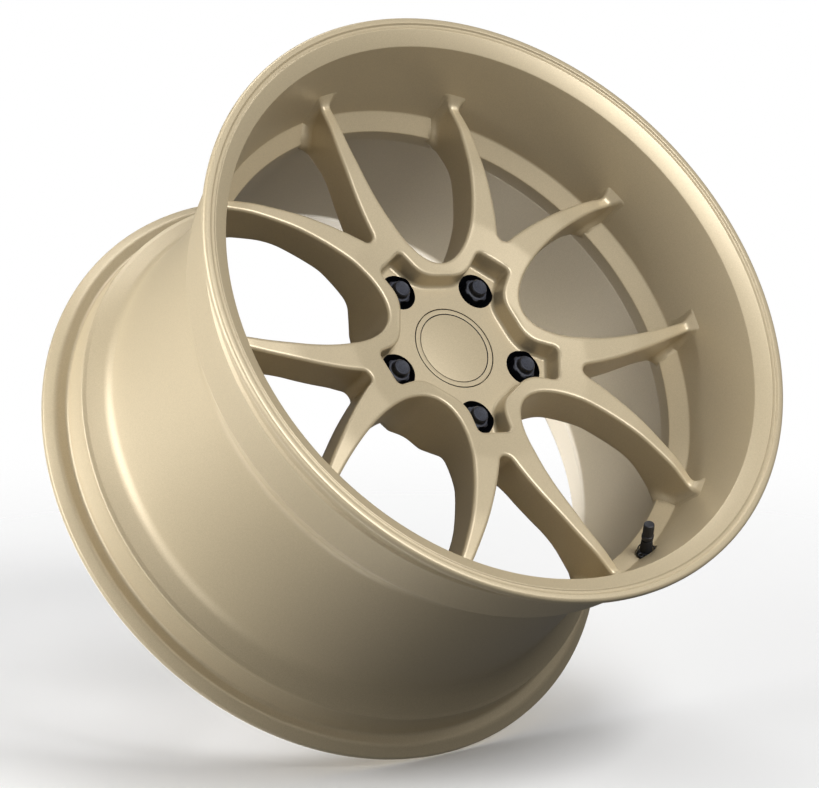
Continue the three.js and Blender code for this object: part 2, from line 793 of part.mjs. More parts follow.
function makeCoreSpring() {
  const section = new THREE.Shape();
  section.absarc(0, 0, core.springWire, 0, 2 * Math.PI, false);
  const extrudePath = new Coil(core.springRadius, core.springLength, core.springTurns);
  const geometry = new THREE.ExtrudeGeometry(section, {
    steps: core.springTurns * 10,
    curveSegments: 4,
    extrudePath,
  });
  const top = coreTop - core.barrelLength - core.sealThickness - 3 * clearance;
  geometry.translate(0, top - core.springLength - core.springWire, 0);
  return solid(geometry);
}

// ---- Assembly ------------------------------------------------------------------------------

addPiece('rim_barrel', makeBarrel(), 'paint');
addPiece('hub_centre', makeHub(), 'paint');

const oneSpoke = makeSpoke();
const atLugCircle = new THREE.Matrix4().makeTranslation(0, 0, hub.lugCircleRadius);
const oneSeatRing = moved(makeSeatRing(), atLugCircle);
const oneNut = moved(makeNut(), atLugCircle);
for (let i = 0; i < hub.lugCount; i += 1) {
  addPiece(`y_spoke_${i + 1}`, aboutY(oneSpoke, i * lugStep), 'paint');
  addPiece(`lug_seat_ring_${i + 1}`, aboutY(oneSeatRing, i * lugStep), 'blackSteel');
  addPiece(`lug_nut_${i + 1}`, aboutY(oneNut, i * lugStep), 'blackSteel');
}

addPiece('centre_cap', makeCapBody(), 'paint');
addPiece('centre_cap_disc', makeCapInsert(), 'paint');
addPiece('centre_cap_wire', makeCapWire(), 'springSteel');

addPiece('valve_rubber_body', onValve(makeValveBody()), 'rubber');
addPiece('valve_tube', onValve(makeValveTube()), 'brass');
addPiece('valve_cap', onValve(makeValveCap()), 'blackPlastic');
addPiece('valve_cap_seal', onValve(makeCapSeal()), 'rubber');
addPiece('valve_wire_ring', onValve(makeWireRing()), 'blackSteel');
addPiece('valve_core_barrel', onValve(makeCoreBarrel()), 'brass');
addPiece('valve_core_pin', onValve(makeCorePin()), 'brass');
addPiece('valve_core_seal', onValve(makeCoreSeal()), 'rubber');
addPiece('valve_core_spring', onValve(makeCoreSpring()), 'springSteel');

export default model;
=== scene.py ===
import json
import logging
import math
from collections.abc import Callable, Sequence
from dataclasses import dataclass, field
from enum import Enum

import bmesh
import bpy
import numpy as np
from mathutils import Matrix, Vector


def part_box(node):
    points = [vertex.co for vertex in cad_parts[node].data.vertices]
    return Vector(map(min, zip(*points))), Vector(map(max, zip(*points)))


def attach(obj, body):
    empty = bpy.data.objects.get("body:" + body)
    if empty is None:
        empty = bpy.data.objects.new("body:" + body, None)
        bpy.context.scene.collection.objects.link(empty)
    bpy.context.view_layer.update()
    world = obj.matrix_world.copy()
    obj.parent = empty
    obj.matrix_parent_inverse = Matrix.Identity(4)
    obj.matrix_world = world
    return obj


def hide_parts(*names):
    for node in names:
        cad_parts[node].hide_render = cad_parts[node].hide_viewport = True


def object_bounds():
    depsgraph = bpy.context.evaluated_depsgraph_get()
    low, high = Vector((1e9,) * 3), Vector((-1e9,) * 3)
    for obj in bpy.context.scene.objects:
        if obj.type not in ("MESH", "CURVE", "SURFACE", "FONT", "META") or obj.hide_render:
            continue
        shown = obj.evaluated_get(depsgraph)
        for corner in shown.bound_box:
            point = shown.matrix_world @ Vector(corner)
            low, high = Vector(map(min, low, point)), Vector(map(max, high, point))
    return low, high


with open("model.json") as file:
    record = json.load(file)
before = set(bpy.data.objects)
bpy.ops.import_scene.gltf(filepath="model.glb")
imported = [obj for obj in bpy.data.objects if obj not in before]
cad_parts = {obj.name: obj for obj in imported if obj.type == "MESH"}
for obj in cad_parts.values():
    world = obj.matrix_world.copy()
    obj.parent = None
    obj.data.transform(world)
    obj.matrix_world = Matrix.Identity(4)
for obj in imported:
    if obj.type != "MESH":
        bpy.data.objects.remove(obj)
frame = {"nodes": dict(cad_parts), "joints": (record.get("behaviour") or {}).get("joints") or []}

CAD_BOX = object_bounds()
MM = 0.001
CIRCLE = 2.0 * math.pi
# Points closer than WELD metres are merged, and edges past SHARP_ANGLE are drawn sharp.
WELD = 5e-6
SHARP_ANGLE = math.radians(32.0)
# A corner stays sharp where half its angle is past STRAIGHT. A rounding uses at most CORNER_REACH
# of each side.
STRAIGHT = math.radians(89.5)
CORNER_REACH = 0.48
# Lobes follow a cosine raised to this power, which makes them full.
LOBE_POWER = 0.7
# Stretches round a wire ring, and round its wire.
RING_STEPS = 96
WIRE_STEPS = 16
# Rows in a wall's rounded edge, and in all the flat between two of them.
EDGE_ROWS = 7
FLAT_ROWS = 8
# The soft edges of the pieces kept from the frame.
BEVEL_WIDTH = 0.0001
BEVEL_ANGLE = math.radians(35.0)
Array = np.ndarray
Material = bpy.types.Material
Mesh = bpy.types.Mesh
Node = bpy.types.Node
Socket = bpy.types.NodeSocket
Tree = bpy.types.NodeTree
log = logging.getLogger("wheel")


# ---- Lines and grids -------------------------------------------------------------------------


def arc_at_corner(corner: Array, before: Array, after: Array, radius: float, steps: int) -> Array:
    """The arc that rounds one corner of a line.

    The arc touches both sides at radius / tan(half the corner's angle) from the corner. Its points
    are the centre plus a vector swung evenly from one touching point to the other.

    Args:
        corner: The corner's own point.
        before: The point before it.
        after: The point after it.
        radius: The arc's radius, cut down where a side is too short for it.
        steps: Stretches in the arc.

    Returns:
        The arc's points, one row each.
    """
    to_before, to_after = before - corner, after - corner
    reach = CORNER_REACH * min(np.linalg.norm(to_before), np.linalg.norm(to_after))
    to_before = to_before / np.linalg.norm(to_before)
    to_after = to_after / np.linalg.norm(to_after)
    half = 0.5 * math.acos(float(np.clip(to_before @ to_after, -1.0, 1.0)))
    if half > STRAIGHT:
        return corner[None]
    touch = min(radius / math.tan(half), reach)
    bisector = (to_before + to_after) / np.linalg.norm(to_before + to_after)
    centre = corner + bisector * touch / math.cos(half)
    first = corner + to_before * touch - centre
    last = corner + to_after * touch - centre
    swing = math.pi - 2.0 * half
    share = np.linspace(0.0, 1.0, steps + 1)[:, None]
    weights = np.sin((1.0 - share) * swing), np.sin(share * swing)
    return centre + (weights[0] * first + weights[1] * last) / math.sin(swing)


def rounded_line(corners: Sequence[tuple], steps: int = 6, closed: bool = False) -> Array:
    """A line through corners, each rounded by its own radius.

    Args:
        corners: Rows of (a, b) or (a, b, radius).
        steps: Stretches in each arc.
        closed: Whether the last corner joins the first.

    Returns:
        The line's points, one row each. A closed line ends on its first point.
    """
    points = np.array([corner[:2] for corner in corners], float)
    radii = [corner[2] if len(corner) > 2 else 0.0 for corner in corners]
    last = len(points) - 1
    runs = []
    for i, radius in enumerate(radii):
        is_end = not closed and i in (0, last)
        if is_end or radius <= 0.0:
            runs.append(points[i][None])
        else:
            before, after = points[i - 1], points[(i + 1) % len(points)]
            runs.append(arc_at_corner(points[i], before, after, radius, steps))
    if closed:
        runs.append(runs[0][:1])
    return np.concatenate(runs)


def round_y(radius: Array, y: Array, angle: Array) -> Array:
    """Points at a radius r, a y and an angle t round Y: (r sin t, y, r cos t)."""
    radius, y, angle = np.broadcast_arrays(radius, y, angle)
    return np.stack([radius * np.sin(angle), y, radius * np.cos(angle)], axis=-1)


def turned(profile: Array, segments: int, lobes: Array | None = None, count: int = 0) -> Array:
    """A profile turned about Y.

    Where lobes are given, the radius at angle t grows by the lobe height times w. w is the cosine
    of count times t, raised to LOBE_POWER with its sign kept, which makes the lobes full.

    Args:
        profile: Rows of (radius, y).
        segments: Stretches round the circle.
        lobes: Each row's lobe height, or None.
        count: Lobes round the circle.

    Returns:
        A grid of points, (segments + 1) by rows by 3.
    """
    angle = np.linspace(0.0, CIRCLE, segments + 1)[:, None]
    radius = profile[None, :, 0]
    if lobes is not None:
        wave = np.cos(count * angle)
        radius = radius + lobes[None, :] * np.sign(wave) * np.abs(wave) ** LOBE_POWER
    return round_y(radius, profile[None, :, 1], angle)


def swept_ring(centre: Sequence[float], ring: float, wire: float, across: Array, beside: Array) -> Array:
    """A closed wire ring.

    The wire's centre runs round a circle in the plane of across and beside. A point on the wire
    stands off that circle by the wire's radius, outward times a cosine plus square to the plane
    times a sine.

    Args:
        centre: The ring's centre.
        ring: The ring's radius.
        wire: The wire's radius.
        across: One unit direction in the ring's plane.
        beside: The other one.

    Returns:
        A grid of points, round by section by 3.
    """
    around = np.linspace(0.0, CIRCLE, RING_STEPS + 1)[:, None, None]
    section = np.linspace(0.0, CIRCLE, WIRE_STEPS + 1)[None, :, None]
    outward = np.cos(around) * across + np.sin(around) * beside
    square = np.cross(across, beside)
    stand = wire * (np.cos(section) * outward + np.sin(section) * square)
    return np.asarray(centre, float) + ring * outward + stand


@dataclass
class Skin:
    """Grids of points that are sewn into one closed mesh."""

    grids: list[Array] = field(default_factory=list)

    def add(self, *grids: Array) -> None:
        """Adds grids, each rows by columns by 3, in millimetres."""
        self.grids.extend(grids)

    def spread(self, copies: int) -> None:
        """Mirrors every grid in X, then repeats grid and mirror image evenly about Y."""
        mirrored = [grid * np.array([-1.0, 1.0, 1.0]) for grid in self.grids]
        wedge = self.grids + mirrored
        self.grids = []
        for k in range(copies):
            turn = np.array(Matrix.Rotation(CIRCLE * k / copies, 3, "Y"))
            self.grids.extend(grid @ turn.T for grid in wedge)

    def mesh(self, name: str) -> Mesh:
        """Sews the grids into one smooth mesh in metres, with its faces pointing outwards.

        Args:
            name: The mesh's name.

        Returns:
            The mesh.
        """
        points, quads, start = [], [], 0
        for grid in self.grids:
            rows, columns = grid.shape[:2]
            index = start + np.arange(rows * columns).reshape(rows, columns)
            corners = index[:-1, :-1], index[1:, :-1], index[1:, 1:], index[:-1, 1:]
            quads.append(np.stack(corners, axis=-1).reshape(-1, 4))
            points.append(grid.reshape(-1, 3) * MM)
            start += rows * columns
        mesh = bpy.data.meshes.new(name)
        mesh.from_pydata(np.concatenate(points).tolist(), [], np.concatenate(quads).tolist())
        sewn = bmesh.new()
        sewn.from_mesh(mesh)
        bmesh.ops.remove_doubles(sewn, verts=sewn.verts, dist=WELD)
        bmesh.ops.dissolve_degenerate(sewn, edges=sewn.edges, dist=WELD / 4.0)
        bmesh.ops.recalc_face_normals(sewn, faces=sewn.faces)
        sewn.to_mesh(mesh)
        sewn.free()
        return mesh


def sewn(name: str, *grids: Array) -> Mesh:
    """Grids in millimetres, sewn into one closed mesh."""
    skin = Skin()
    skin.add(*grids)
    return skin.mesh(name)


def cut_away(mesh: Mesh, cutters: Sequence[Mesh]) -> Mesh:
    """Cuts closed shapes out of a closed mesh.

    Args:
        mesh: The mesh that is cut.
        cutters: The closed shapes to take away.

    Returns:
        The cut mesh, under the same name.
    """
    body = bpy.data.objects.new("body", mesh)
    bpy.context.scene.collection.objects.link(body)
    tools = []
    for cutter in cutters:
        tool = bpy.data.objects.new("tool", cutter)
        bpy.context.scene.collection.objects.link(tool)
        cut = body.modifiers.new("cut", "BOOLEAN")
        cut.object = tool
        cut.operation = "DIFFERENCE"
        cut.solver = "EXACT"
        tools.append(tool)
    depsgraph = bpy.context.evaluated_depsgraph_get()
    made = bpy.data.meshes.new_from_object(body.evaluated_get(depsgraph))
    name = mesh.name
    for used in [body, *tools]:
        bpy.data.objects.remove(used)
    for used in [mesh, *cutters]:
        bpy.data.meshes.remove(used)
    made.name = name
    return made


def show(
    mesh: Mesh,
    body: str,
    material: Material,
    nodes: Sequence[str],
) -> bpy.types.Object:
    """Puts a finished mesh on its body, in place of CAD nodes.

    Args:
        mesh: The piece's mesh, already in place.
        body: The CAD body that it rides on.
        material: Its finish.
        nodes: The CAD nodes that it stands for.

    Returns:
        The piece's object.
    """
    mesh.materials.clear()
    mesh.materials.append(material)
    mesh.shade_smooth()
    mesh.set_sharp_from_angle(angle=SHARP_ANGLE)
    piece = bpy.data.objects.new(mesh.name, mesh)
    bpy.context.scene.collection.objects.link(piece)
    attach(piece, body)
    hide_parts(*nodes)
    log.info("%s: %d faces on %s", mesh.name, len(mesh.polygons), body)
    return piece


def tint(mesh: Mesh, material: Material, chosen: Array) -> None:
    """Gives some of a mesh's faces a finish of their own.

    Args:
        mesh: The mesh.
        material: The finish.
        chosen: True for each face that gets it.
    """
    index = np.zeros(len(mesh.polygons), np.int32)
    mesh.polygons.foreach_get("material_index", index)
    mesh.materials.append(material)
    index[chosen] = len(mesh.materials) - 1
    mesh.polygons.foreach_set("material_index", index)


def face_table(mesh: Mesh) -> tuple[Array, Array]:
    """Each face's centre in millimetres and its unit normal, one row each."""
    centres = np.zeros(len(mesh.polygons) * 3, np.float32)
    normals = np.zeros(len(mesh.polygons) * 3, np.float32)
    mesh.polygons.foreach_get("center", centres)
    mesh.polygons.foreach_get("normal", normals)
    return centres.reshape(-1, 3) / MM, normals.reshape(-1, 3)


# ---- Finishes --------------------------------------------------------------------------------


class Effect(Enum):
    """The shared effects, each a node group."""

    FLAKE = "metallic_flake"
    SHEEN_DRIFT = "gloss_drift"
    GRAIN = "fine_grain"


def new_group(effect: Effect, inputs: dict[str, tuple[str, object]], outputs: dict[str, str]) -> tuple:
    """Starts a node group with named sockets.

    Args:
        effect: Which effect it holds.
        inputs: Each input's name, with its socket type and default.
        outputs: Each output's name, with its socket type.

    Returns:
        The group's tree, its input node and its output node.
    """
    tree = bpy.data.node_groups.new(effect.value, "ShaderNodeTree")
    for name, (kind, default) in inputs.items():
        socket = tree.interface.new_socket(name=name, in_out="INPUT", socket_type=kind)
        socket.default_value = default
    for name, kind in outputs.items():
        tree.interface.new_socket(name=name, in_out="OUTPUT", socket_type=kind)
    return tree, tree.nodes.new("NodeGroupInput"), tree.nodes.new("NodeGroupOutput")


def feed(tree: Tree, made: Node, links: dict[object, object]) -> None:
    """Gives each input, by name or number, its value or the socket that feeds it."""
    for name, value in links.items():
        if isinstance(value, Socket):
            tree.links.new(value, made.inputs[name])
        else:
            made.inputs[name].default_value = value


def node(tree: Tree, kind: str, links: dict[object, object], **settings: object) -> Node:
    """Adds a node, with its settings, values and links.

    Args:
        tree: The tree that gets it.
        kind: The node's Blender type.
        links: For each input's name or number, a value or the socket that feeds it.
        **settings: The node's own properties.

    Returns:
        The node.
    """
    made = tree.nodes.new(kind)
    for name, value in settings.items():
        setattr(made, name, value)
    feed(tree, made, links)
    return made


def maths(tree: Tree, operation: str, *values: object) -> Socket:
    """The result of a Math node on values or sockets, in their order."""
    return node(tree, "ShaderNodeMath", dict(enumerate(values)), operation=operation).outputs[0]


def noise(tree: Tree, place: Socket, scale: object, detail: float) -> Socket:
    """A noise about 0.5 at a place, at a scale and detail."""
    links = {"Vector": place, "Scale": scale, "Detail": detail}
    return node(tree, "ShaderNodeTexNoise", links).outputs["Fac"]


def build_flake() -> None:
    """Metallic flake: each tiny cell of paint is a little lighter or darker, over a slow drift."""
    inputs = {
        "Base": ("NodeSocketColor", (0.5, 0.5, 0.5, 1.0)),
        "Flake Scale": ("NodeSocketFloat", 2600.0),
        "Flake Strength": ("NodeSocketFloat", 0.12),
        "Drift Strength": ("NodeSocketFloat", 0.04),
    }
    tree, source, sink = new_group(Effect.FLAKE, inputs, {"Color": "NodeSocketColor"})
    place = tree.nodes.new("ShaderNodeTexCoord").outputs["Object"]
    cells = node(tree, "ShaderNodeTexVoronoi", {"Vector": place, "Scale": source.outputs["Flake Scale"]})
    flake = node(tree, "ShaderNodeSeparateColor", {"Color": cells.outputs["Color"]})
    lift = maths(tree, "SUBTRACT", flake.outputs["Red"], 0.5)
    sway = maths(tree, "SUBTRACT", noise(tree, place, 9.0, 2.0), 0.5)
    bright = maths(tree, "MULTIPLY_ADD", lift, source.outputs["Flake Strength"], 1.0)
    shade = maths(tree, "MULTIPLY_ADD", sway, source.outputs["Drift Strength"], bright)
    links = {0: source.outputs["Base"], 1: shade}
    colour = node(tree, "ShaderNodeVectorMath", links, operation="MULTIPLY")
    tree.links.new(colour.outputs[0], sink.inputs["Color"])


def build_drift() -> None:
    """Gloss drift: the roughness wanders softly about its base value."""
    inputs = {
        "Roughness": ("NodeSocketFloat", 0.4),
        "Spread": ("NodeSocketFloat", 0.06),
        "Scale": ("NodeSocketFloat", 25.0),
    }
    tree, source, sink = new_group(Effect.SHEEN_DRIFT, inputs, {"Roughness": "NodeSocketFloat"})
    place = tree.nodes.new("ShaderNodeTexCoord").outputs["Object"]
    sway = maths(tree, "SUBTRACT", noise(tree, place, source.outputs["Scale"], 4.0), 0.5)
    rough = maths(tree, "MULTIPLY_ADD", sway, source.outputs["Spread"], source.outputs["Roughness"])
    tree.links.new(rough, sink.inputs["Roughness"])


def build_grain() -> None:
    """Fine grain: a height that mixes a fine noise with a coarser one, for orange peel or moulding."""
    inputs = {
        "Fine Scale": ("NodeSocketFloat", 900.0),
        "Coarse Scale": ("NodeSocketFloat", 160.0),
        "Coarse Share": ("NodeSocketFloat", 0.5),
    }
    tree, source, sink = new_group(Effect.GRAIN, inputs, {"Height": "NodeSocketFloat"})
    place = tree.nodes.new("ShaderNodeTexCoord").outputs["Object"]
    fine = noise(tree, place, source.outputs["Fine Scale"], 2.0)
    coarse = noise(tree, place, source.outputs["Coarse Scale"], 1.0)
    height = maths(tree, "MULTIPLY_ADD", coarse, source.outputs["Coarse Share"], fine)
    tree.links.new(height, sink.inputs["Height"])


@dataclass(frozen=True)
class Finish:
    """One finish: its colour, gloss, flake and grain."""

    name: str
    colour: tuple[float, float, float]
    roughness: float
    metallic: float = 0.0
    coat: float = 0.0
    coat_roughness: float = 0.2
    flake_scale: float = 2600.0
    flake_strength: float = 0.1
    drift_strength: float = 0.05
    gloss_spread: float = 0.06
    gloss_scale: float = 25.0
    fine_scale: float = 900.0
    coarse_scale: float = 160.0
    coarse_share: float = 0.5
    bump: float = 0.1
    bump_depth: float = 0.00002

    def material(self) -> Material:
        """Builds the finish's material from the shared effects and one Principled shader.

        Returns:
            The material.
        """
        made = bpy.data.materials.new(self.name)
        made.use_nodes = True
        tree = made.node_tree
        paint = (*self.colour, 1.0), self.flake_scale, self.flake_strength, self.drift_strength
        gloss = self.roughness, self.gloss_spread, self.gloss_scale
        heights = self.fine_scale, self.coarse_scale, self.coarse_share
        grain = self._effect(tree, Effect.GRAIN, heights)
        bump = {"Height": grain, "Strength": self.bump, "Distance": self.bump_depth}
        looks = {
            "Metallic": self.metallic,
            "Coat Weight": self.coat,
            "Coat Roughness": self.coat_roughness,
            "Base Color": self._effect(tree, Effect.FLAKE, paint),
            "Roughness": self._effect(tree, Effect.SHEEN_DRIFT, gloss),
            "Normal": node(tree, "ShaderNodeBump", bump).outputs["Normal"],
        }
        feed(tree, tree.nodes["Principled BSDF"], looks)
        return made

    @staticmethod
    def _effect(tree: Tree, effect: Effect, values: Sequence) -> Socket:
        """Places one shared effect, its inputs set in the group's own order, and gives its output."""
        made = tree.nodes.new("ShaderNodeGroup")
        made.node_tree = bpy.data.node_groups[effect.value]
        feed(tree, made, dict(enumerate(values)))
        return made.outputs[0]


PAINT = Finish(
    "sand_gold_paint", (0.53, 0.44, 0.288), 0.42, metallic=0.3, coat=0.4, coat_roughness=0.34,
    flake_strength=0.16, drift_strength=0.03, gloss_spread=0.05, bump=0.12,
)
# Black coated steel for the nuts, seat rings and valve ring; also painted as shade on the lug-hole and
# cap-recess walls.
BLACK_STEEL = Finish(
    "black_coated_steel", (0.011, 0.0125, 0.018), 0.36, metallic=0.3, coat=0.2, flake_strength=0.5,
    fine_scale=2200.0, bump=0.5,
)
# Painted sheen: a paler blue-black for the outboard faces of the nut crowns.
CROWN_PAINTED_SHEEN = Finish(
    "blue_black_nut_crown", (0.026, 0.029, 0.042), 0.5, metallic=0.2, flake_scale=1600.0,
    flake_strength=0.9, fine_scale=1500.0, bump=0.7,
)
# Black moulded plastic for the valve cap and the centre cap's hidden back; also painted as shade on the
# centre cap's sides and groove.
BLACK_PLASTIC = Finish(
    "moulded_black_plastic", (0.016, 0.017, 0.022), 0.45, flake_strength=0.3, fine_scale=1400.0, bump=0.4,
)
RUBBER = Finish(
    "black_rubber", (0.008, 0.008, 0.009), 0.72, flake_strength=0.4, fine_scale=1100.0, bump=0.6,
)
BRASS = Finish("machined_brass", (0.56, 0.38, 0.15), 0.28, metallic=1.0, flake_strength=0.08)
SPRING_STEEL = Finish("bright_spring_steel", (0.42, 0.42, 0.44), 0.3, metallic=1.0)


# ---- Barrel ----------------------------------------------------------------------------------


@dataclass(frozen=True)
class Barrel:
    """The barrel: flanges, lip, dish, ledge and tyre side as one turned skin, with the valve hole."""

    flange: float = 248.3
    edge_y: float = 145.5
    land: float = 5.4
    groove_width: float = 4.4
    groove_depth: float = 1.7
    lip_face_y: float = -144.6
    dish_front: tuple[float, float] = (226.0, -137.3)
    dish_back: tuple[float, float] = (213.8, -62.6)
    ledge_inner: tuple[float, float] = (200.8, -52.85)
    waist: tuple[float, float] = (200.3, -40.85)
    waist_step: float = 1.7
    inner_foot: tuple[float, float] = (206.8, 92.0)
    inner_step: tuple[float, float] = (214.0, 102.85)
    back: tuple[float, float] = (222.0, 131.35)
    back_flare: tuple[float, float] = (234.0, 145.5)
    tyre_face_y: float = 133.35
    bead_seat: float = 231.0
    seat_foot: float = 229.1
    seat_foot_y: float = 111.85
    hump: float = 230.5
    side_land: float = 227.6
    ramp_foot: tuple[float, float] = (213.0, 92.0)
    well: tuple[float, float] = (206.0, -38.0)
    wall_top: tuple[float, float] = (227.4, -72.4)
    wall_foot: tuple[float, float] = (209.0, -46.0)
    hump_run: tuple[float, float, float] = (6.5, 4.5, 2.0)
    segments: int = 288

    def dish_radius(self, y: Array) -> Array:
        """Radius of the inside surface at each y: dish wall, ledge, then the inside of the barrel."""
        line = np.array([self.dish_front, self.dish_back, self.ledge_inner, self.waist, self.inner_foot])
        return np.interp(y, line[:, 1], line[:, 0])

    def bead_side(self, side: float) -> list[tuple[float, float, float]]:
        """Corners from the well's land out over hump and bead seat to the flange's curled face.

        Args:
            side: -1 outboard, 1 inboard.

        Returns:
            Rows of (radius, y, rounding).
        """
        foot, face = self.seat_foot_y, self.tyre_face_y
        return [
            (self.side_land, side * (foot - self.hump_run[0]), 1.5),
            (self.hump, side * (foot - self.hump_run[1]), 1.2),
            (self.hump, side * (foot - self.hump_run[2]), 1.2),
            (self.seat_foot, side * foot, 1.5),
            (self.bead_seat, side * (face - 0.4), 3.2),
            (self.flange - 7.4, side * face, 7.0),
            (self.flange, side * (self.edge_y - 5.6), 1.6),
        ]

    def profile(self) -> Array:
        """The whole section as one closed line, each corner rounded."""
        groove_y = -self.edge_y + self.groove_depth
        groove_out = self.flange - self.land
        groove_in = groove_out - self.groove_width
        corners = [
            (self.flange, -self.edge_y, 3.0),
            (groove_out, -self.edge_y, 0.9),
            (groove_out - 1.1, groove_y, 1.0),
            (groove_in + 1.1, groove_y, 1.0),
            (groove_in, self.lip_face_y, 0.9),
            (self.dish_front[0] + 0.6, self.dish_front[1] - 0.2, 1.3),
            (*self.dish_back, 3.2),
            (*self.ledge_inner, 1.6),
            (*self.waist, 0.8),
            (self.waist[0] + self.waist_step, self.waist[1] + 0.9, 0.8),
            (*self.inner_foot, 22.0),
            (*self.inner_step, 5.0),
            (*self.back, 5.0),
            (self.back_flare[0] - 3.0, self.back_flare[1] - 2.0, 2.0),
            (*self.back_flare, 1.5),
            (self.flange, self.edge_y, 3.0),
            *reversed(self.bead_side(1.0)),
            (*self.ramp_foot, 16.0),
            (*self.well, 20.0),
            (*self.wall_foot, 9.0),
            (*self.wall_top, 1.4),
            *self.bead_side(-1.0),
        ]
        return rounded_line(corners, steps=5, closed=True)

    def build(self, valve: "TyreValve", material: Material) -> None:
        """Turns the section about Y, cuts the valve's hole and shows the barrel.

        Args:
            valve: The tyre valve that goes through it.
            material: The paint.
        """
        mesh = sewn("barrel", turned(self.profile(), self.segments))
        mesh = cut_away(mesh, [valve.hole_cutter()])
        show(mesh, "wheel", material, ["rim_barrel"])


# ---- Five-Y casting --------------------------------------------------------------------------


@dataclass
class PlanLine:
    """An edge in the wheel's plane, read by its own length.

    Args:
        corners: Its points, one row each, as (x, z).
        metal: 1 where the metal is on the right of the way along it, -1 on the left.
        start_normal: Direction into the metal at its start.
        end_normal: Direction into the metal at its end, or None.
    """

    corners: Array
    metal: float
    start_normal: Sequence[float]
    end_normal: Sequence[float] | None = None
    spacing: float = 0.25
    bend_pace: float = 7.0

    def __post_init__(self) -> None:
        """Walks the line at even steps and works out its length, place and normal at each."""
        steps = np.linalg.norm(np.diff(self.corners, axis=0), axis=1)
        walked = np.concatenate([[0.0], np.cumsum(steps)])
        self.length = float(walked[-1])
        self.s = np.linspace(0.0, self.length, max(int(self.length / self.spacing), 8) + 1)
        self.x = np.interp(self.s, walked, self.corners[:, 0])
        self.z = np.interp(self.s, walked, self.corners[:, 1])
        ahead = np.minimum(np.arange(len(self.s)) + 2, len(self.s) - 1)
        behind = np.maximum(np.arange(len(self.s)) - 2, 0)
        way = np.stack([self.x[ahead] - self.x[behind], self.z[ahead] - self.z[behind]], axis=1)
        way /= np.linalg.norm(way, axis=1)[:, None]
        self.normals = self.metal * np.stack([way[:, 1], -way[:, 0]], axis=1)
        self.normals[0] = self.start_normal
        if self.end_normal is not None:
            self.normals[-1] = self.end_normal
        turn = np.linalg.norm(np.diff(self.normals, axis=0), axis=1)
        self.effort = np.concatenate([[0.0], np.cumsum(np.diff(self.s) + self.bend_pace * turn)])

    def at(self, s: Array) -> Array:
        """The line's points at lengths s, with a last axis of (x, z)."""
        return np.stack([np.interp(s, self.s, self.x), np.interp(s, self.s, self.z)], axis=-1)

    def into_metal(self, s: Array) -> Array:
        """Unit directions into the metal at lengths s."""
        normal = np.stack([np.interp(s, self.s, self.normals[:, k]) for k in (0, 1)], axis=-1)
        return normal / np.linalg.norm(normal, axis=-1, keepdims=True)

    def nearest(self, x: float, z: float) -> float:
        """Length along the line of its point nearest to (x, z)."""
        return float(self.s[np.argmin(np.hypot(self.x - x, self.z - z))])

    def where_radius(self, radius: float) -> float:
        """Length along the line where it first reaches a radius."""
        return float(self.s[np.argmax(np.hypot(self.x, self.z) >= radius)])

    def paced(self, start: float, end: float, count: int) -> Array:
        """Lengths from start to end, closer together where the line bends.

        Args:
            start: First length.
            end: Last length.
            count: How many.

        Returns:
            The lengths.
        """
        effort = np.interp([start, end], self.s, self.effort)
        paced = np.interp(np.linspace(effort[0], effort[1], count), self.effort, self.s)
        paced[0], paced[-1] = start, end
        return paced


@dataclass(frozen=True)
class WallRows:
    """The rows down a wall, from its rounded front edge to its far edge.

    Each row stands off the plan edge by offset, into the metal. Its y is near behind the front
    surface where share is 0, far ahead of the far surface where share is 1, and in proportion
    between them.
    """

    offset: Array
    near: Array
    far: Array
    share: Array

    def y(self, front: Array, back: Array) -> Array:
        """Each row's y, from the y of the front and far surfaces."""
        return (front + self.near) * (1.0 - self.share) + (back - self.far) * self.share

    @classmethod
    def rounded(cls, front: float, back: float, draft: float = 0.0, hollow: bool = False) -> "WallRows":
        """A wall with a rounded front edge and a rounded far edge or a hollow foot.

        A quarter circle of the front radius starts on the front surface and ends on the wall. The
        far quarter circle turns back into the metal, or out over a floor where the foot is hollow.

        Args:
            front: Radius of the front edge.
            back: Radius of the far edge or foot.
            draft: How far the wall leans out of the metal on the way down.
            hollow: Whether the far end is a hollow foot.

        Returns:
            The rows.
        """
        quarter = np.linspace(0.0, math.pi / 2.0, EDGE_ROWS)
        middle = np.linspace(0.0, 1.0, FLAT_ROWS)[1:-1]
        flat, level = 0.0 * quarter, 0.0 * middle
        lean = 1.0 if not hollow else -1.0
        turn_back = lean * back * (1.0 - np.cos(quarter)) - draft
        offset = [front * (1.0 - np.sin(quarter)), -draft * middle, turn_back]
        near = [front * (1.0 - np.cos(quarter)), front + level, front + flat]
        far = [back + flat, back + level, back * (1.0 - np.sin(quarter))]
        share = [flat, middle, 1.0 + flat]
        return cls(*(np.concatenate(run) for run in (offset, near, far, share)))


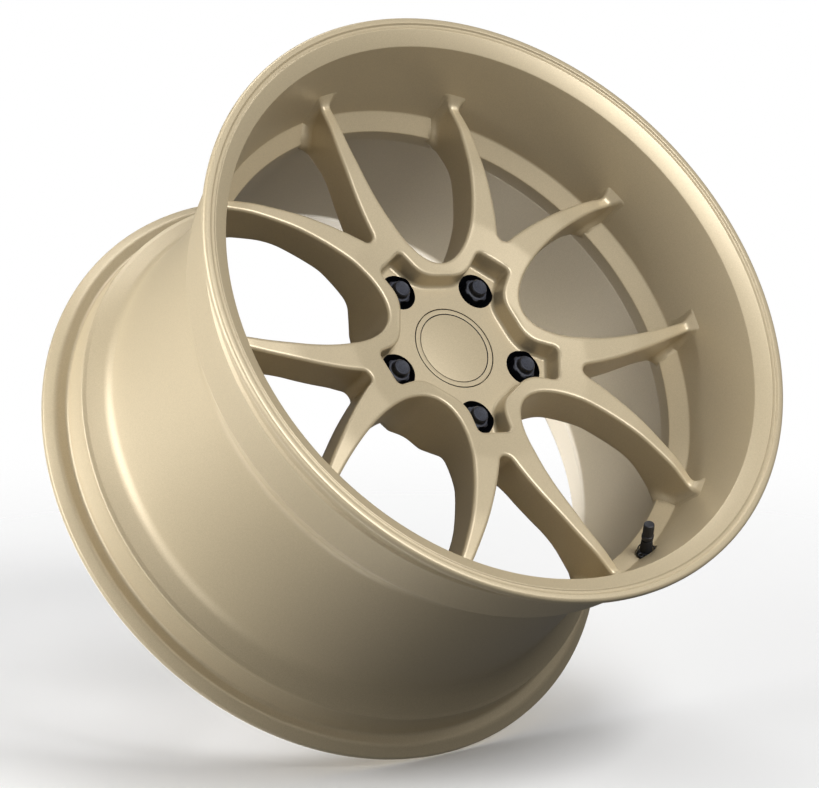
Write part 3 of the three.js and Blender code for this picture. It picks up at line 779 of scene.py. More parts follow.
@dataclass
class SpokeStar:
    """The hub and its five Ys: one half of one Y as grids, mirrored and repeated round the wheel.

    Two plan edges bound the half: the wide window's edge on one side, and on the other the pocket's
    edge, the lug's own axis and the narrow window's edge in turn. Front and back surfaces are ruled
    between them, walls drop from their rounded edges, and the arm's end runs into the barrel.
    """

    barrel: Barrel
    lugs: int = 5
    window_start: float = 65.5
    window_half: float = 54.98
    window_centre: float = 202.3
    crotch: float = 102.0
    crotch_round: float = 6.0
    crotch_angle: float = 23.0
    arm_angle: float = 38.0
    narrow_end: tuple[float, float] = (64.5, 197.4)
    narrow_bend: tuple[float, float] = (22.4, 145.4)
    lobe_top: float = 81.0
    lobe_half: float = 14.5
    lobe_corner: float = 4.5
    lobe_foot: tuple[float, float] = (15.2, 67.0)
    collar_start: float = 54.2
    collar_ease: float = 9.5
    lobe_ease: float = 13.0
    lobe_lean: float = 0.06
    wide_overrun: float = 40.0
    narrow_overrun: float = 45.0
    floor_y: float = -69.6
    recess_depth: float = 5.0
    hub_bore: float = 30.1
    catch_groove: float = 31.5
    register: float = 36.3
    register_y: float = -40.0
    back_y: float = -25.0
    cap_recess: float = 34.0
    lug_hole: float = 14.6
    stud_hole: float = 7.5
    seat_y: float = -44.0
    seat_slope: float = 0.577
    edge_round: float = 2.6
    pocket_round: float = 2.4
    back_round: float = 2.0
    foot_round: float = 3.2
    arm_flare: float = 5.8
    ledge_flare: float = 11.5
    flare_span: tuple[float, float] = (-80.0, -56.0)
    join_radius: float = 185.0
    end_depth: float = 2.0
    across: int = 14
    pocket_count: int = 40
    stem_count: int = 8
    arm_count: int = 34
    tip_count: int = 20
    tip_pace: float = 1.5
    floor_count: int = 8
    wide_steps: int = 400
    collar_steps: int = 60
    crotch_steps: int = 40
    arm_steps: int = 300
    flare_rounds: int = 2
    hole_segments: int = 72
    # How far round the holes, how deep and how steep a wall must be to take the painted shade.
    tint_margin: float = 0.2
    tint_depth: float = 0.15
    wall_slope: float = 0.8

    def __post_init__(self) -> None:
        """Draws the two surfaces and the plan edges."""
        front = [
            (30.0, -85.8), (58.0, -85.8, 20.0), (104.6, -91.1, 60.0), (156.0, -92.0, 160.0),
            (193.0, -88.8, 70.0), (212.9, -83.5, 5.5), (217.6, -90.0), (224.0, -99.1),
        ]
        back = [
            (30.0, self.back_y), (68.5, self.back_y, 8.0), (86.0, -48.5, 20.0), (119.0, -58.6, 40.0),
            (166.0, -61.2, 50.0), (194.0, -48.0, 8.0), (215.0, -45.5),
        ]
        self.front_line = rounded_line(front, steps=16)
        self.back_line = rounded_line(back, steps=12)
        half_step = math.pi / self.lugs
        self.axis = np.array([math.sin(half_step), math.cos(half_step)])
        self.wide = PlanLine(self._wide_edge(), -1.0, -self.axis)
        self.pocket = PlanLine(self._pocket_edge(), 1.0, self.axis, (0.0, 1.0))
        self.narrow = PlanLine(self._narrow_edge(), 1.0, (0.0, -1.0))

    def front(self, radius: Array) -> Array:
        """y of the front surface at a radius."""
        return np.interp(radius, self.front_line[:, 0], self.front_line[:, 1])

    def back(self, radius: Array) -> Array:
        """y of the back surface at a radius."""
        return np.interp(radius, self.back_line[:, 0], self.back_line[:, 1])

    def _wide_edge(self) -> Array:
        """A quarter of an ellipse on the window's own axis, then a straight run out over the rim."""
        swing = np.linspace(0.0, math.pi / 2.0, self.wide_steps)
        reach = self.window_centre - self.window_start
        beside = np.append(-self.window_half * np.sin(swing), -self.window_half)
        along = np.append(
            self.window_centre - reach * np.cos(swing), self.window_centre + self.wide_overrun
        )
        sine, cosine = self.axis
        return np.stack([beside * cosine + along * sine, along * cosine - beside * sine], axis=1)

    def _pocket_edge(self) -> Array:
        """From the collar's middle along a cubic curve to the lobe's side, then over its top."""
        start = self.collar_start * self.axis
        foot = np.array(self.lobe_foot)
        pull = start + self.collar_ease * np.array([-self.axis[1], self.axis[0]])
        push = foot + self.lobe_ease * np.array([self.lobe_lean, -1.0])
        t = np.linspace(0.0, 1.0, self.collar_steps)[:, None]
        leave, arrive = (1 - t) ** 3 * start + 3 * t * (1 - t) ** 2 * pull, 3 * t**2 * (1 - t) * push
        corner = (self.lobe_half, self.lobe_top, self.lobe_corner)
        lobe = rounded_line([self.lobe_foot, corner, (0.0, self.lobe_top)], steps=24)
        return np.concatenate([leave + arrive + t**3 * foot, lobe[1:]])

    def _narrow_edge(self) -> Array:
        """The narrow window's round end, a quadratic curve along the arm, then a straight run."""
        turn = math.radians(self.crotch_angle)
        swing = np.linspace(-math.pi / 2.0, -turn, self.crotch_steps)
        centre = self.crotch + self.crotch_round
        end_round = self.crotch_round * np.stack([np.cos(swing), np.sin(swing)], axis=1)
        end_round[:, 1] += centre
        t = np.linspace(0.0, 1.0, self.arm_steps)[1:, None]
        bend, end = np.array(self.narrow_bend), np.array(self.narrow_end)
        side = (1 - t) ** 2 * end_round[-1] + 2 * t * (1 - t) * bend + t**2 * end
        arm = math.radians(self.arm_angle)
        run = end + self.narrow_overrun * np.array([[math.sin(arm), math.cos(arm)]])
        return np.concatenate([end_round, side, run])

    def _column(self, line: PlanLine, s: Array, rows: WallRows, far: float | None = None) -> Array:
        """Wall points at lengths s of an edge.

        A point stands at the edge plus its row's offset into the metal, at the row's y between the
        front surface and the far one. Near the barrel the arm flares: past the join radius it
        stands off further by R - sqrt(R squared - (R - gap) squared), where gap is how far the
        barrel's inside still is and R grows from the arm's front towards the ledge.

        Args:
            line: The plan edge.
            s: Lengths, one row per place and one column, or a column for each wall row.
            rows: The wall's rows.
            far: y of a flat far surface, or None for the back surface.

        Returns:
            A grid of points, places by rows by 3.
        """
        s = np.broadcast_to(s, (len(s), len(rows.offset)))
        normal = line.into_metal(s)
        edge = line.at(s)
        plan = edge + rows.offset[None, :, None] * normal
        for _ in range(self.flare_rounds):
            radius = np.hypot(plan[..., 0], plan[..., 1])
            back = self.back(radius) if far is None else np.full_like(radius, far)
            y = rows.y(self.front(radius), back)
            gap = self.barrel.dish_radius(y) - radius
            reach = np.interp(y, self.flare_span, [self.arm_flare, self.ledge_flare])
            lack = np.clip(reach - gap, 0.0, reach)
            flare = reach - np.sqrt(reach**2 - lack**2)
            flare = np.where(radius > self.join_radius, flare, 0.0)
            plan = edge + (rows.offset[None, :] - flare)[..., None] * normal
        radius = np.hypot(plan[..., 0], plan[..., 1])
        back = self.back(radius) if far is None else np.full_like(radius, far)
        return np.stack([plan[..., 0], rows.y(self.front(radius), back), plan[..., 1]], axis=-1)

    def _tip_lengths(self, line: PlanLine, start: float, rows: WallRows) -> Array:
        """Lengths along an arm's last stretch, with each row ending just inside the barrel's metal.

        Args:
            line: The plan edge.
            start: Where the stretch starts.
            rows: The wall's rows.

        Returns:
            Lengths, places by rows.
        """
        s = line.s[line.s >= start][:, None] + np.zeros(len(rows.offset))
        plan = line.at(s) + rows.offset[None, :, None] * line.into_metal(s)
        radius = np.hypot(plan[..., 0], plan[..., 1])
        y = rows.y(self.front(radius), self.back(radius))
        inside = radius >= self.barrel.dish_radius(y) + self.end_depth
        end = s[np.argmax(inside, axis=0), 0]
        share = 1.0 - (1.0 - np.linspace(0.0, 1.0, self.tip_count)) ** self.tip_pace
        return start + share[:, None] * (end[None, :] - start)

    def _ruled(self, first: Array, last: Array, surface: Callable[[Array], Array]) -> Array:
        """A surface ruled between two plan edges and lifted to the front or back surface.

        Args:
            first: One edge's points, rows of 3.
            last: The other edge's points.
            surface: Gives the surface's y at a radius.

        Returns:
            A grid of points, places by across by 3.
        """
        share = np.linspace(0.0, 1.0, self.across)[None, :, None]
        grid = first[:, None] * (1.0 - share) + last[:, None] * share
        inner = grid[:, 1:-1]
        inner[..., 1] = surface(np.hypot(inner[..., 0], inner[..., 2]))
        return grid

    def _end_cap(self, front: Array, back: Array, first: Array, last: Array) -> Array:
        """The arm's hidden end: four edges blended so that the patch meets each of them."""
        u = np.linspace(0.0, 1.0, len(front))[:, None, None]
        v = np.linspace(0.0, 1.0, len(first))[None, :, None]
        between = front[:, None] * (1 - v) + back[:, None] * v + first[None] * (1 - u) + last[None] * u
        corners = (front[0] * (1 - u) + front[-1] * u) * (1 - v) + (back[0] * (1 - u) + back[-1] * u) * v
        return between - corners

    def _lug_axis(self, start: float, end: float, surface: Callable[[Array], Array]) -> Array:
        """Points out along the lug's own axis, on the front or back surface."""
        z = np.linspace(start, end, self.stem_count)
        return np.stack([0.0 * z, surface(z), z], axis=1)

    def _bore_profile(self) -> Array:
        """The cap's recess and catch groove, then the hub register, as (radius, y)."""
        floor, bore, groove = self.floor_y, self.hub_bore, self.catch_groove
        recess, ledge = self.cap_recess, self.floor_y + self.recess_depth
        corners = [
            (recess + 0.2, floor), (recess, floor + 0.2), (recess, ledge), (bore, ledge, 0.5),
            (bore, ledge + 7.0), (groove, ledge + 8.4), (groove, ledge + 11.0), (bore, ledge + 12.4),
            (bore, self.register_y, 0.5), (self.register, self.register_y, 0.5),
            (self.register, self.back_y - 1.0), (self.register + 1.0, self.back_y),
        ]
        return rounded_line(corners, steps=3)

    def grids(self) -> list[Array]:
        """Half of one Y, with its share of the hub, as grids that meet edge to edge."""
        rows = WallRows.rounded(self.edge_round, self.back_round)
        floor_rows = WallRows.rounded(self.pocket_round, self.foot_round, draft=0.8, hollow=True)
        beside_lobe = self.wide.nearest(0.0, self.lobe_top + self.edge_round)
        beside_crotch = self.wide.nearest(0.0, self.crotch)
        wide_join = self.wide.where_radius(self.join_radius)
        narrow_join = self.narrow.where_radius(self.join_radius)
        wide_stops = [
            self.wide.paced(0.0, beside_lobe, self.pocket_count),
            self.wide.paced(beside_lobe, beside_crotch, self.stem_count),
            self.wide.paced(beside_crotch, wide_join, self.arm_count),
        ]
        wall_runs = [self._column(self.wide, stops[:, None], rows) for stops in wide_stops]
        wall_runs.append(self._column(self.wide, self._tip_lengths(self.wide, wide_join, rows), rows))
        pocket_stops = self.pocket.paced(0.0, self.pocket.length, self.pocket_count)
        pocket = self._column(self.pocket, pocket_stops[:, None], floor_rows, far=self.floor_y)
        narrow_stops = self.narrow.paced(0.0, narrow_join, self.arm_count)
        narrow = self._column(self.narrow, narrow_stops[:, None], rows)
        narrow_tip = self._column(self.narrow, self._tip_lengths(self.narrow, narrow_join, rows), rows)

        loop = pocket[:, -1]
        angle = np.arctan2(loop[:, 0], loop[:, 2])
        bore_line = self._bore_profile()
        bore = round_y(bore_line[None, :, 0], bore_line[None, :, 1], angle[:, None])
        share = np.linspace(0.0, 1.0, self.floor_count)[None, :, None]
        floor = loop[:, None] * (1.0 - share) + bore[:, :1] * share

        stem_front = self._lug_axis(pocket[-1, 0, 2], narrow[0, 0, 2], self.front)
        stem_back = self._lug_axis(bore[-1, -1, 2], narrow[0, -1, 2], self.back)
        inner_front = [pocket[:, 0], stem_front, narrow[:, 0], narrow_tip[:, 0]]
        inner_back = [bore[:, -1], stem_back, narrow[:, -1], narrow_tip[:, -1]]
        fronts = [self._ruled(w[:, 0], inner, self.front) for w, inner in zip(wall_runs, inner_front)]
        backs = [self._ruled(w[:, -1], inner, self.back) for w, inner in zip(wall_runs, inner_back)]
        cap = self._end_cap(fronts[-1][-1], backs[-1][-1], wall_runs[-1][-1], narrow_tip[-1])
        return [*wall_runs, pocket, narrow, narrow_tip, bore, floor, *fronts, *backs, cap]

    def lug_cutters(self, centres: Sequence[tuple[float, float]]) -> list[Mesh]:
        """The lug holes, each with its cone seat and stud hole.

        Args:
            centres: Each lug's (x, z).

        Returns:
            A closed cutter for each.
        """
        above, below = self.floor_y - 9.0, self.back_y + 5.0
        cone_foot = self.seat_y + (self.lug_hole - self.stud_hole) / self.seat_slope
        corners = [
            (0.0, above), (self.lug_hole, above), (self.lug_hole, self.seat_y),
            (self.stud_hole, cone_foot), (self.stud_hole, below), (0.0, below),
        ]
        profile = rounded_line(corners)
        hole = turned(profile, self.hole_segments)
        return [sewn("lug_hole", hole + np.array([x, 0.0, z])) for x, z in centres]

    def build(
        self, centres: Sequence[tuple[float, float]], paint: Material, painted_shade_finish: Material
    ) -> None:
        """Builds the casting, drills its lug holes and shows it.

        Args:
            centres: Each lug's (x, z), in millimetres.
            paint: The paint.
            painted_shade_finish: The black finish painted on the walls of the lug holes and the cap's
                recess, as painted shade.
        """
        skin = Skin()
        skin.add(*self.grids())
        skin.spread(self.lugs)
        mesh = cut_away(skin.mesh("hub_and_spokes"), self.lug_cutters(centres))
        nodes = ["hub_centre"] + [f"y_spoke_{k + 1}" for k in range(self.lugs)]
        show(mesh, "wheel", paint, nodes)
        # Painted shade: the walls of the cap's recess and of the lug holes take the black finish, which
        # stands in for the shade in the gap round the cap and deep in the holes.
        middles, normals = face_table(mesh)
        depth = middles[:, 1] - self.floor_y
        inside = np.hypot(middles[:, 0], middles[:, 2]) < self.cap_recess + 0.1
        painted_shade_faces = inside & (depth < self.recess_depth + 1.0)
        cone = self.lug_hole - self.seat_slope * (middles[:, 1] - self.seat_y)
        reach = np.clip(cone, self.stud_hole, self.lug_hole) + self.tint_margin
        for x, z in centres:
            painted_shade_faces |= np.hypot(middles[:, 0] - x, middles[:, 2] - z) < reach
        walls = (depth > self.tint_depth) & (np.abs(normals[:, 1]) < self.wall_slope)
        tint(mesh, painted_shade_finish, painted_shade_faces & walls)


# ---- Lug nuts --------------------------------------------------------------------------------


@dataclass(frozen=True)
class LugNuts:
    """Five closed nuts: a round crown on a six-lobed spline, a flange and a threaded shank."""

    count: int = 5
    crown: float = 6.75
    crown_height: float = 5.0
    spline: float = 9.3
    lobe: float = 0.75
    flange: float = 12.4
    flange_height: float = 3.2
    shank: float = 8.2
    shank_length: float = 12.0
    thread: float = 6.0
    thread_pitch: float = 1.5
    thread_depth: float = 30.0
    thread_wave: float = 0.22
    lobes: int = 6
    # How near the top and how squarely outboard a crown face must be to take the painted sheen.
    pale_depth: float = 1.2
    pale_slope: float = 0.75
    segments: int = 96

    def centres(self) -> list[tuple[float, float]]:
        """Each nut's (x, z) in millimetres, from the frame."""
        found = []
        for k in range(self.count):
            low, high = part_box(f"lug_nut_{k + 1}")
            middle = (low + high) / 2.0 / MM
            found.append((middle.x, middle.z))
        return found

    def profile(self, top: float) -> tuple[Array, Array]:
        """A nut's section and the lobe height of each of its rows.

        The thread is a wave on the bore's radius, one crest a pitch.

        Args:
            top: y of the crown's face.

        Returns:
            Rows of (radius, y), and each row's lobe height.
        """
        shoulder = top + self.crown_height
        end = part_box("lug_nut_1")[1].y / MM
        seat = end - self.shank_length
        rim = seat - self.flange_height
        corners = [
            (0.0, top + 0.25), (self.crown - 1.7, top + 0.25, 0.4), (self.crown - 1.3, top, 0.3),
            (self.crown - 0.7, top, 0.6), (self.crown, top + 1.0, 0.6), (self.crown, shoulder, 0.8),
            (self.spline - 0.8, shoulder, 0.5), (self.spline, shoulder + 0.8, 0.5),
            (self.spline, rim, 0.6), (self.flange, rim, 0.7), (self.flange, seat, 0.5),
            (self.shank, seat, 0.4), (self.shank, end, 0.5), (self.thread + 0.5, end, 0.3),
        ]
        y = np.linspace(end - 0.8, end - self.thread_depth + 2.0, 110)
        wave = self.thread_wave * np.cos(CIRCLE * y / self.thread_pitch)
        bore = np.stack([self.thread - 0.1 + wave, y], axis=1)
        tip = np.array([[0.0, end - self.thread_depth]])
        section = np.concatenate([rounded_line(corners, steps=3), bore, tip])
        radius, height = section.T
        lobed = (height > shoulder + 0.2) & (height < rim - 0.3)
        lobed &= (radius > self.spline - 1.0) & (radius < self.spline + 0.1)
        return section, np.where(lobed, self.lobe, 0.0)

    def build(self, steel: Material, crown: Material) -> None:
        """Shows the nuts, with a painted sheen: their crowns' outboard faces are in a paler finish.

        Args:
            steel: The nuts' black finish.
            crown: The paler blue-black finish of the faces that look outboard, a painted sheen.
        """
        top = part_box("lug_nut_1")[0].y / MM
        section, lobes = self.profile(top)
        for k, (x, z) in enumerate(self.centres()):
            name = f"nut_{k + 1}"
            mesh = sewn(name, turned(section, self.segments, lobes, self.lobes) + np.array([x, 0.0, z]))
            piece = show(mesh, name, steel, [f"lug_{name}"])
            # Painted sheen: the crown's faces that look outboard, near its top, take a paler blue-black
            # finish for the light they catch.
            middles, normals = face_table(piece.data)
            shallow = middles[:, 1] < top + self.crown_height + self.pale_depth
            tint(piece.data, crown, shallow & (normals[:, 1] < -self.pale_slope))


# ---- Centre cap ------------------------------------------------------------------------------


@dataclass(frozen=True)
class CentreCap:
    """The snap-in cap: a rim with six sprung legs, a wire ring inside them and a face disc."""

    radius: float = 33.3
    rim_height: float = 4.7
    pocket: float = 29.35
    disc: float = 28.9
    disc_thickness: float = 1.6
    plate_front: float = 1.9
    plate_back: float = 4.5
    leg_outer: float = 29.2
    leg_inner: float = 27.9
    leg_length: float = 13.4
    barb: float = 0.6
    legs: int = 6
    leg_gap_degrees: float = 18.0
    wire: float = 0.8
    segments: int = 144

    def body_profile(self, face: float) -> Array:
        """Section of the rim and plate, closed on the axis."""
        groove, rear = face + self.plate_front, face + self.plate_back
        foot = face + self.rim_height
        corners = [
            (0.0, groove), (self.pocket, groove, 0.2), (self.pocket, face + 0.2),
            (self.pocket + 0.2, face, 0.1), (self.radius - 0.3, face, 0.2),
            (self.radius, face + 0.3, 0.2), (self.radius, foot, 0.4),
            (self.leg_outer - 0.4, foot, 0.3), (self.leg_inner, rear, 0.5), (0.0, rear),
        ]
        return rounded_line(corners, steps=4)

    def leg_grid(self, face: float, index: int) -> list[Array]:
        """One leg: the leg's section carried through an angle, closed at both ends.

        The angle runs over the leg's share of the circle less the gap.

        Args:
            face: y of the cap's face.
            index: Which leg.

        Returns:
            The leg's sides and its two ends.
        """
        foot = face + self.plate_back - 0.6
        end = face + self.rim_height + self.leg_length
        barb = self.leg_outer + self.barb
        corners = [
            (self.leg_inner, foot), (self.leg_outer, foot), (self.leg_outer, end - 5.0, 0.5),
            (barb, end - 3.4, 0.3), (barb, end - 2.0, 0.4), (self.leg_inner + 0.7, end, 0.3),
            (self.leg_inner, end, 0.3),
        ]
        section = rounded_line(corners, steps=3, closed=True)
        step = CIRCLE / self.legs
        half = (step - math.radians(self.leg_gap_degrees)) / 2.0
        middle = (index + 0.5) * step
        angle = np.linspace(middle - half, middle + half, 17)[:, None]
        sides = round_y(section[None, :, 0], section[None, :, 1], angle)
        ends = [np.stack([row, np.broadcast_to(row.mean(0), row.shape)]) for row in sides[[0, -1]]]
        return [sides, *ends]

    def disc_profile(self, face: float) -> Array:
        """Section of the plain face disc."""
        back, edge = face + self.disc_thickness, face + 0.12
        corners = [
            (0.0, edge), (self.disc - 0.25, edge, 0.1), (self.disc, face + 0.4, 0.2),
            (self.disc, back, 0.2), (0.0, back),
        ]
        return rounded_line(corners, steps=3)

    def build(self, paint: Material, plastic: Material, steel: Material) -> None:
        """Shows the cap, its disc and its wire.

        Args:
            paint: The cap's paint.
            plastic: The black moulding on its back, legs and sides and round the disc's groove; on the
                sides and groove it is painted shade for the gaps.
            steel: The wire's finish.
        """
        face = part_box("centre_cap")[0].y / MM
        cap = Skin()
        cap.add(turned(self.body_profile(face), self.segments))
        for k in range(self.legs):
            cap.add(*self.leg_grid(face, k))
        rim = show(cap.mesh("cap_with_legs"), "centre_cap", paint, ["centre_cap"]).data
        # Black plastic on the rim's back, legs and sides and round the disc's groove. Where it shows, on
        # the sides and groove, it is painted shade in the gaps round the cap and the disc.
        middles, _ = face_table(rim)
        radius = np.hypot(middles[:, 0], middles[:, 2])
        tint(rim, plastic, (middles[:, 1] > face + 0.15) | (radius < self.pocket + 0.3))
        disc = sewn("cap_face_disc", turned(self.disc_profile(face), self.segments))
        show(disc, "centre_cap", paint, ["centre_cap_disc"])
        low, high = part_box("centre_cap_wire")
        ring = (high.x - low.x) / 2.0 / MM - self.wire
        centre = (0.0, (low.y + high.y) / 2.0 / MM, 0.0)
        wire = sewn("cap_wire", swept_ring(centre, ring, self.wire, np.eye(3)[0], np.eye(3)[2]))
        show(wire, "centre_cap", steel, ["centre_cap_wire"])


# ---- Tyre valve ------------------------------------------------------------------------------


@dataclass
class TyreValve:
    """The snap-in valve: rubber body, threaded tube, fluted cap and a loose wire ring."""

    wall_grip: float = 4.6
    hole: float = 5.75
    recess: float = 8.2
    bulb: float = 7.6
    bulb_length: float = 8.0
    shoulder: float = 6.9
    base: float = 5.1
    top: float = 4.3
    length: float = 16.5
    tube: float = 2.9
    tube_bore: float = 1.9
    tube_stand: float = 8.0
    cap: float = 4.15
    cap_length: float = 15.5
    collar: float = 4.75
    gap: float = 0.3
    ring_height: float = 6.0
    ring: float = 6.4
    ring_wire: float = 0.5
    eye: float = 1.9
    foot: float = -10.6
    tube_pitch: float = 0.8
    tube_wave: float = 0.12
    flute: float = 0.16
    flutes: int = 20
    cutter_reach: float = 30.0
    segments: int = 72

    def __post_init__(self) -> None:
        """Finds the stem's seat and direction from the frame."""
        lift = next(joint for joint in frame["joints"] if joint["name"] == "valve_cap_lift")
        self.along = np.array(lift["axis"], float)
        self.along /= np.linalg.norm(self.along)
        low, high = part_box("valve_tube")
        middle = np.array((low + high) / 2.0) / MM
        tube_middle = (self.length + self.tube_stand + self.foot) / 2.0
        self.seat = middle - tube_middle * self.along
        sideways = np.cross([0.0, 1.0, 0.0], self.along)
        self.beside = sideways / np.linalg.norm(sideways)
        self.across = np.cross(self.along, self.beside)

    def on_stem(self, grid: Array) -> Array:
        """Carries a grid turned about Y, with its seat at 0, onto the leaning stem."""
        basis = np.stack([self.beside, self.along, self.across])
        return self.seat + grid @ basis

    def _turned(self, corners: Sequence[tuple], name: str, closed: bool = True) -> Mesh:
        """A mesh turned about the stem from its corners."""
        line = rounded_line(corners, steps=4, closed=closed)
        return sewn(name, self.on_stem(turned(line, self.segments)))

    def hole_cutter(self) -> Mesh:
        """The valve's hole through the barrel, with the spot faces on both sides."""
        far, grip = self.cutter_reach, -self.wall_grip
        corners = [
            (0.0, -far), (self.bulb + 1.0, -far), (self.bulb + 1.0, grip), (self.hole, grip),
            (self.hole, 0.0), (self.recess, 0.0, 0.8), (self.recess, far), (0.0, far),
        ]
        return self._turned(corners, "valve_hole", closed=False)

    def body_mesh(self) -> Mesh:
        """The rubber body, with moulded rings above its shoulder."""
        grip = -self.wall_grip - self.gap
        bore = self.tube + self.gap
        neck = self.hole - self.gap
        base = self.base - 0.3
        foot = self.gap + 1.6
        corners = [
            (bore, grip - self.bulb_length, 0.4), (self.bulb - 1.6, grip - self.bulb_length, 1.0),
            (self.bulb, grip - 1.2, 1.0), (self.bulb, grip, 0.4), (neck, grip, 0.3),
            (neck, self.gap, 0.3), (self.shoulder, self.gap, 0.4), (self.shoulder - 0.3, foot, 0.6),
            (self.base + 0.1, foot + 1.0, 0.6), (self.base - 0.05, foot + 3.0, 0.4),
            (base, foot + 3.4, 0.2), (base, foot + 4.2, 0.2), (self.base - 0.1, foot + 4.6, 0.4),
            (self.top, self.length, 0.6), (bore, self.length, 0.3),
        ]
        return self._turned(corners, "valve_body")

    def tube_mesh(self) -> Mesh:
        """The brass tube: the outside is a wave on its radius that climbs one pitch a turn."""
        top = self.length + self.tube_stand
        y = np.concatenate([[self.foot], np.linspace(self.length + 0.5, top - 0.6, 60), [top]])
        thread = np.full_like(y, self.tube - self.tube_wave)
        thread[0], thread[-1] = self.tube, self.tube - 0.5
        outside = np.stack([thread, y], axis=1)
        inside = np.array([[self.tube_bore, top], [self.tube_bore, self.foot], [self.tube, self.foot]])
        grid = turned(np.concatenate([outside, inside]), self.segments)
        angle = np.linspace(0.0, CIRCLE, self.segments + 1)[:, None]
        wave = self.tube_wave * np.cos(CIRCLE * y[None, 1:-1] / self.tube_pitch + angle)
        grid[:, 1 : len(y) - 1] += round_y(wave, 0.0, angle)
        return sewn("valve_tube_threaded", self.on_stem(grid))

    def cap_mesh(self) -> Mesh:
        """The cap: flutes are a wave on its radius above the collar, fading out at the top."""
        foot = self.length + self.gap
        top = foot + self.cap_length
        bore = self.tube + self.gap
        ceiling = self.length + self.tube_stand + 1.0 + 2.0 * self.gap
        corners = [
            (0.0, ceiling), (bore, ceiling, 0.3), (bore, foot + 0.3), (bore + 0.3, foot),
            (self.collar - 0.9, foot, 0.2), (self.collar - 0.7, foot + 1.4, 0.3),
            (self.collar, foot + 2.0, 0.3), (self.collar, foot + 4.2, 0.4),
            (self.cap, foot + 4.8, 0.3), (self.cap, foot + 8.0), (self.cap, top - 3.0),
            (self.cap, top, 0.9), (0.0, top),
        ]
        line = rounded_line(corners, steps=4)
        radius, height = line.T
        fluted = (radius > self.cap - 0.1) & (height > foot + 5.2) & (height < top - 1.5)
        heights = np.where(fluted, self.flute, 0.0)
        grid = turned(line, 6 * self.flutes, heights, self.flutes)
        return sewn("valve_cap_fluted", self.on_stem(grid))

    def ring_mesh(self) -> Mesh:
        """The wire ring that hangs against the stem, with its small eye."""
        taper = (self.base - self.top) / self.length
        stem = self.base - taper * self.ring_height * 0.6
        hang = self.ring - self.ring_wire - stem - self.gap
        away = self.on_stem(np.array([[hang, self.ring_height, 0.0]]))[0]
        eye_at = self.on_stem(np.array([[hang - self.ring - self.eye, self.ring_height, 0.0]]))[0]
        places = (away, self.ring), (eye_at, self.eye)
        rings = [swept_ring(at, size, self.ring_wire, self.beside, self.across) for at, size in places]
        return sewn("valve_ring", *rings)

    def build(self, finishes: dict[str, Material]) -> None:
        """Shows the valve's visible pieces.

        Args:
            finishes: Materials by finish name.
        """
        rubber, brass = finishes[RUBBER.name], finishes[BRASS.name]
        plastic, steel = finishes[BLACK_PLASTIC.name], finishes[BLACK_STEEL.name]
        show(self.body_mesh(), "wheel", rubber, ["valve_rubber_body"])
        show(self.tube_mesh(), "wheel", brass, ["valve_tube"])
        show(self.cap_mesh(), "valve_cap", plastic, ["valve_cap"])
        show(self.ring_mesh(), "wheel", steel, ["valve_wire_ring"])


# ---- Pieces kept from the frame ---------------------------------------------------------------


def dress_kept(finishes: dict[str, Material]) -> None:
    """Gives each CAD node that still shows its finish and softly bevelled edges.

    Args:
        finishes: Materials by finish name.
    """
    by_node = {f"lug_seat_ring_{k + 1}": BLACK_STEEL for k in range(LugNuts.count)}
    by_node |= {
        "valve_core_barrel": BRASS,
        "valve_core_pin": BRASS,
        "valve_core_seal": RUBBER,
        "valve_cap_seal": RUBBER,
        "valve_core_spring": SPRING_STEEL,
    }
    for name, finish in by_node.items():
        kept = frame["nodes"][name]
        kept.data.materials.clear()
        kept.data.materials.append(finishes[finish.name])
        if name == "valve_core_spring":
            continue
        edge = kept.modifiers.new("soft_edges", "BEVEL")
        edge.width = BEVEL_WIDTH
        edge.segments = 2
        edge.limit_method = "ANGLE"
        edge.angle_limit = BEVEL_ANGLE
        log.info("%s: kept from the frame, dressed in %s", name, finish.name)


# ---- Studio ----------------------------------------------------------------------------------


@dataclass(frozen=True)
class Lamp:
    """A soft square lamp, placed by how far it is to the right, above and towards the camera.

    Where only is given, the lamp lights just the piece of that name.
    """

    name: str
    right: float
    above: float
    towards: float
    size: float
    power: float
    only: str = ""


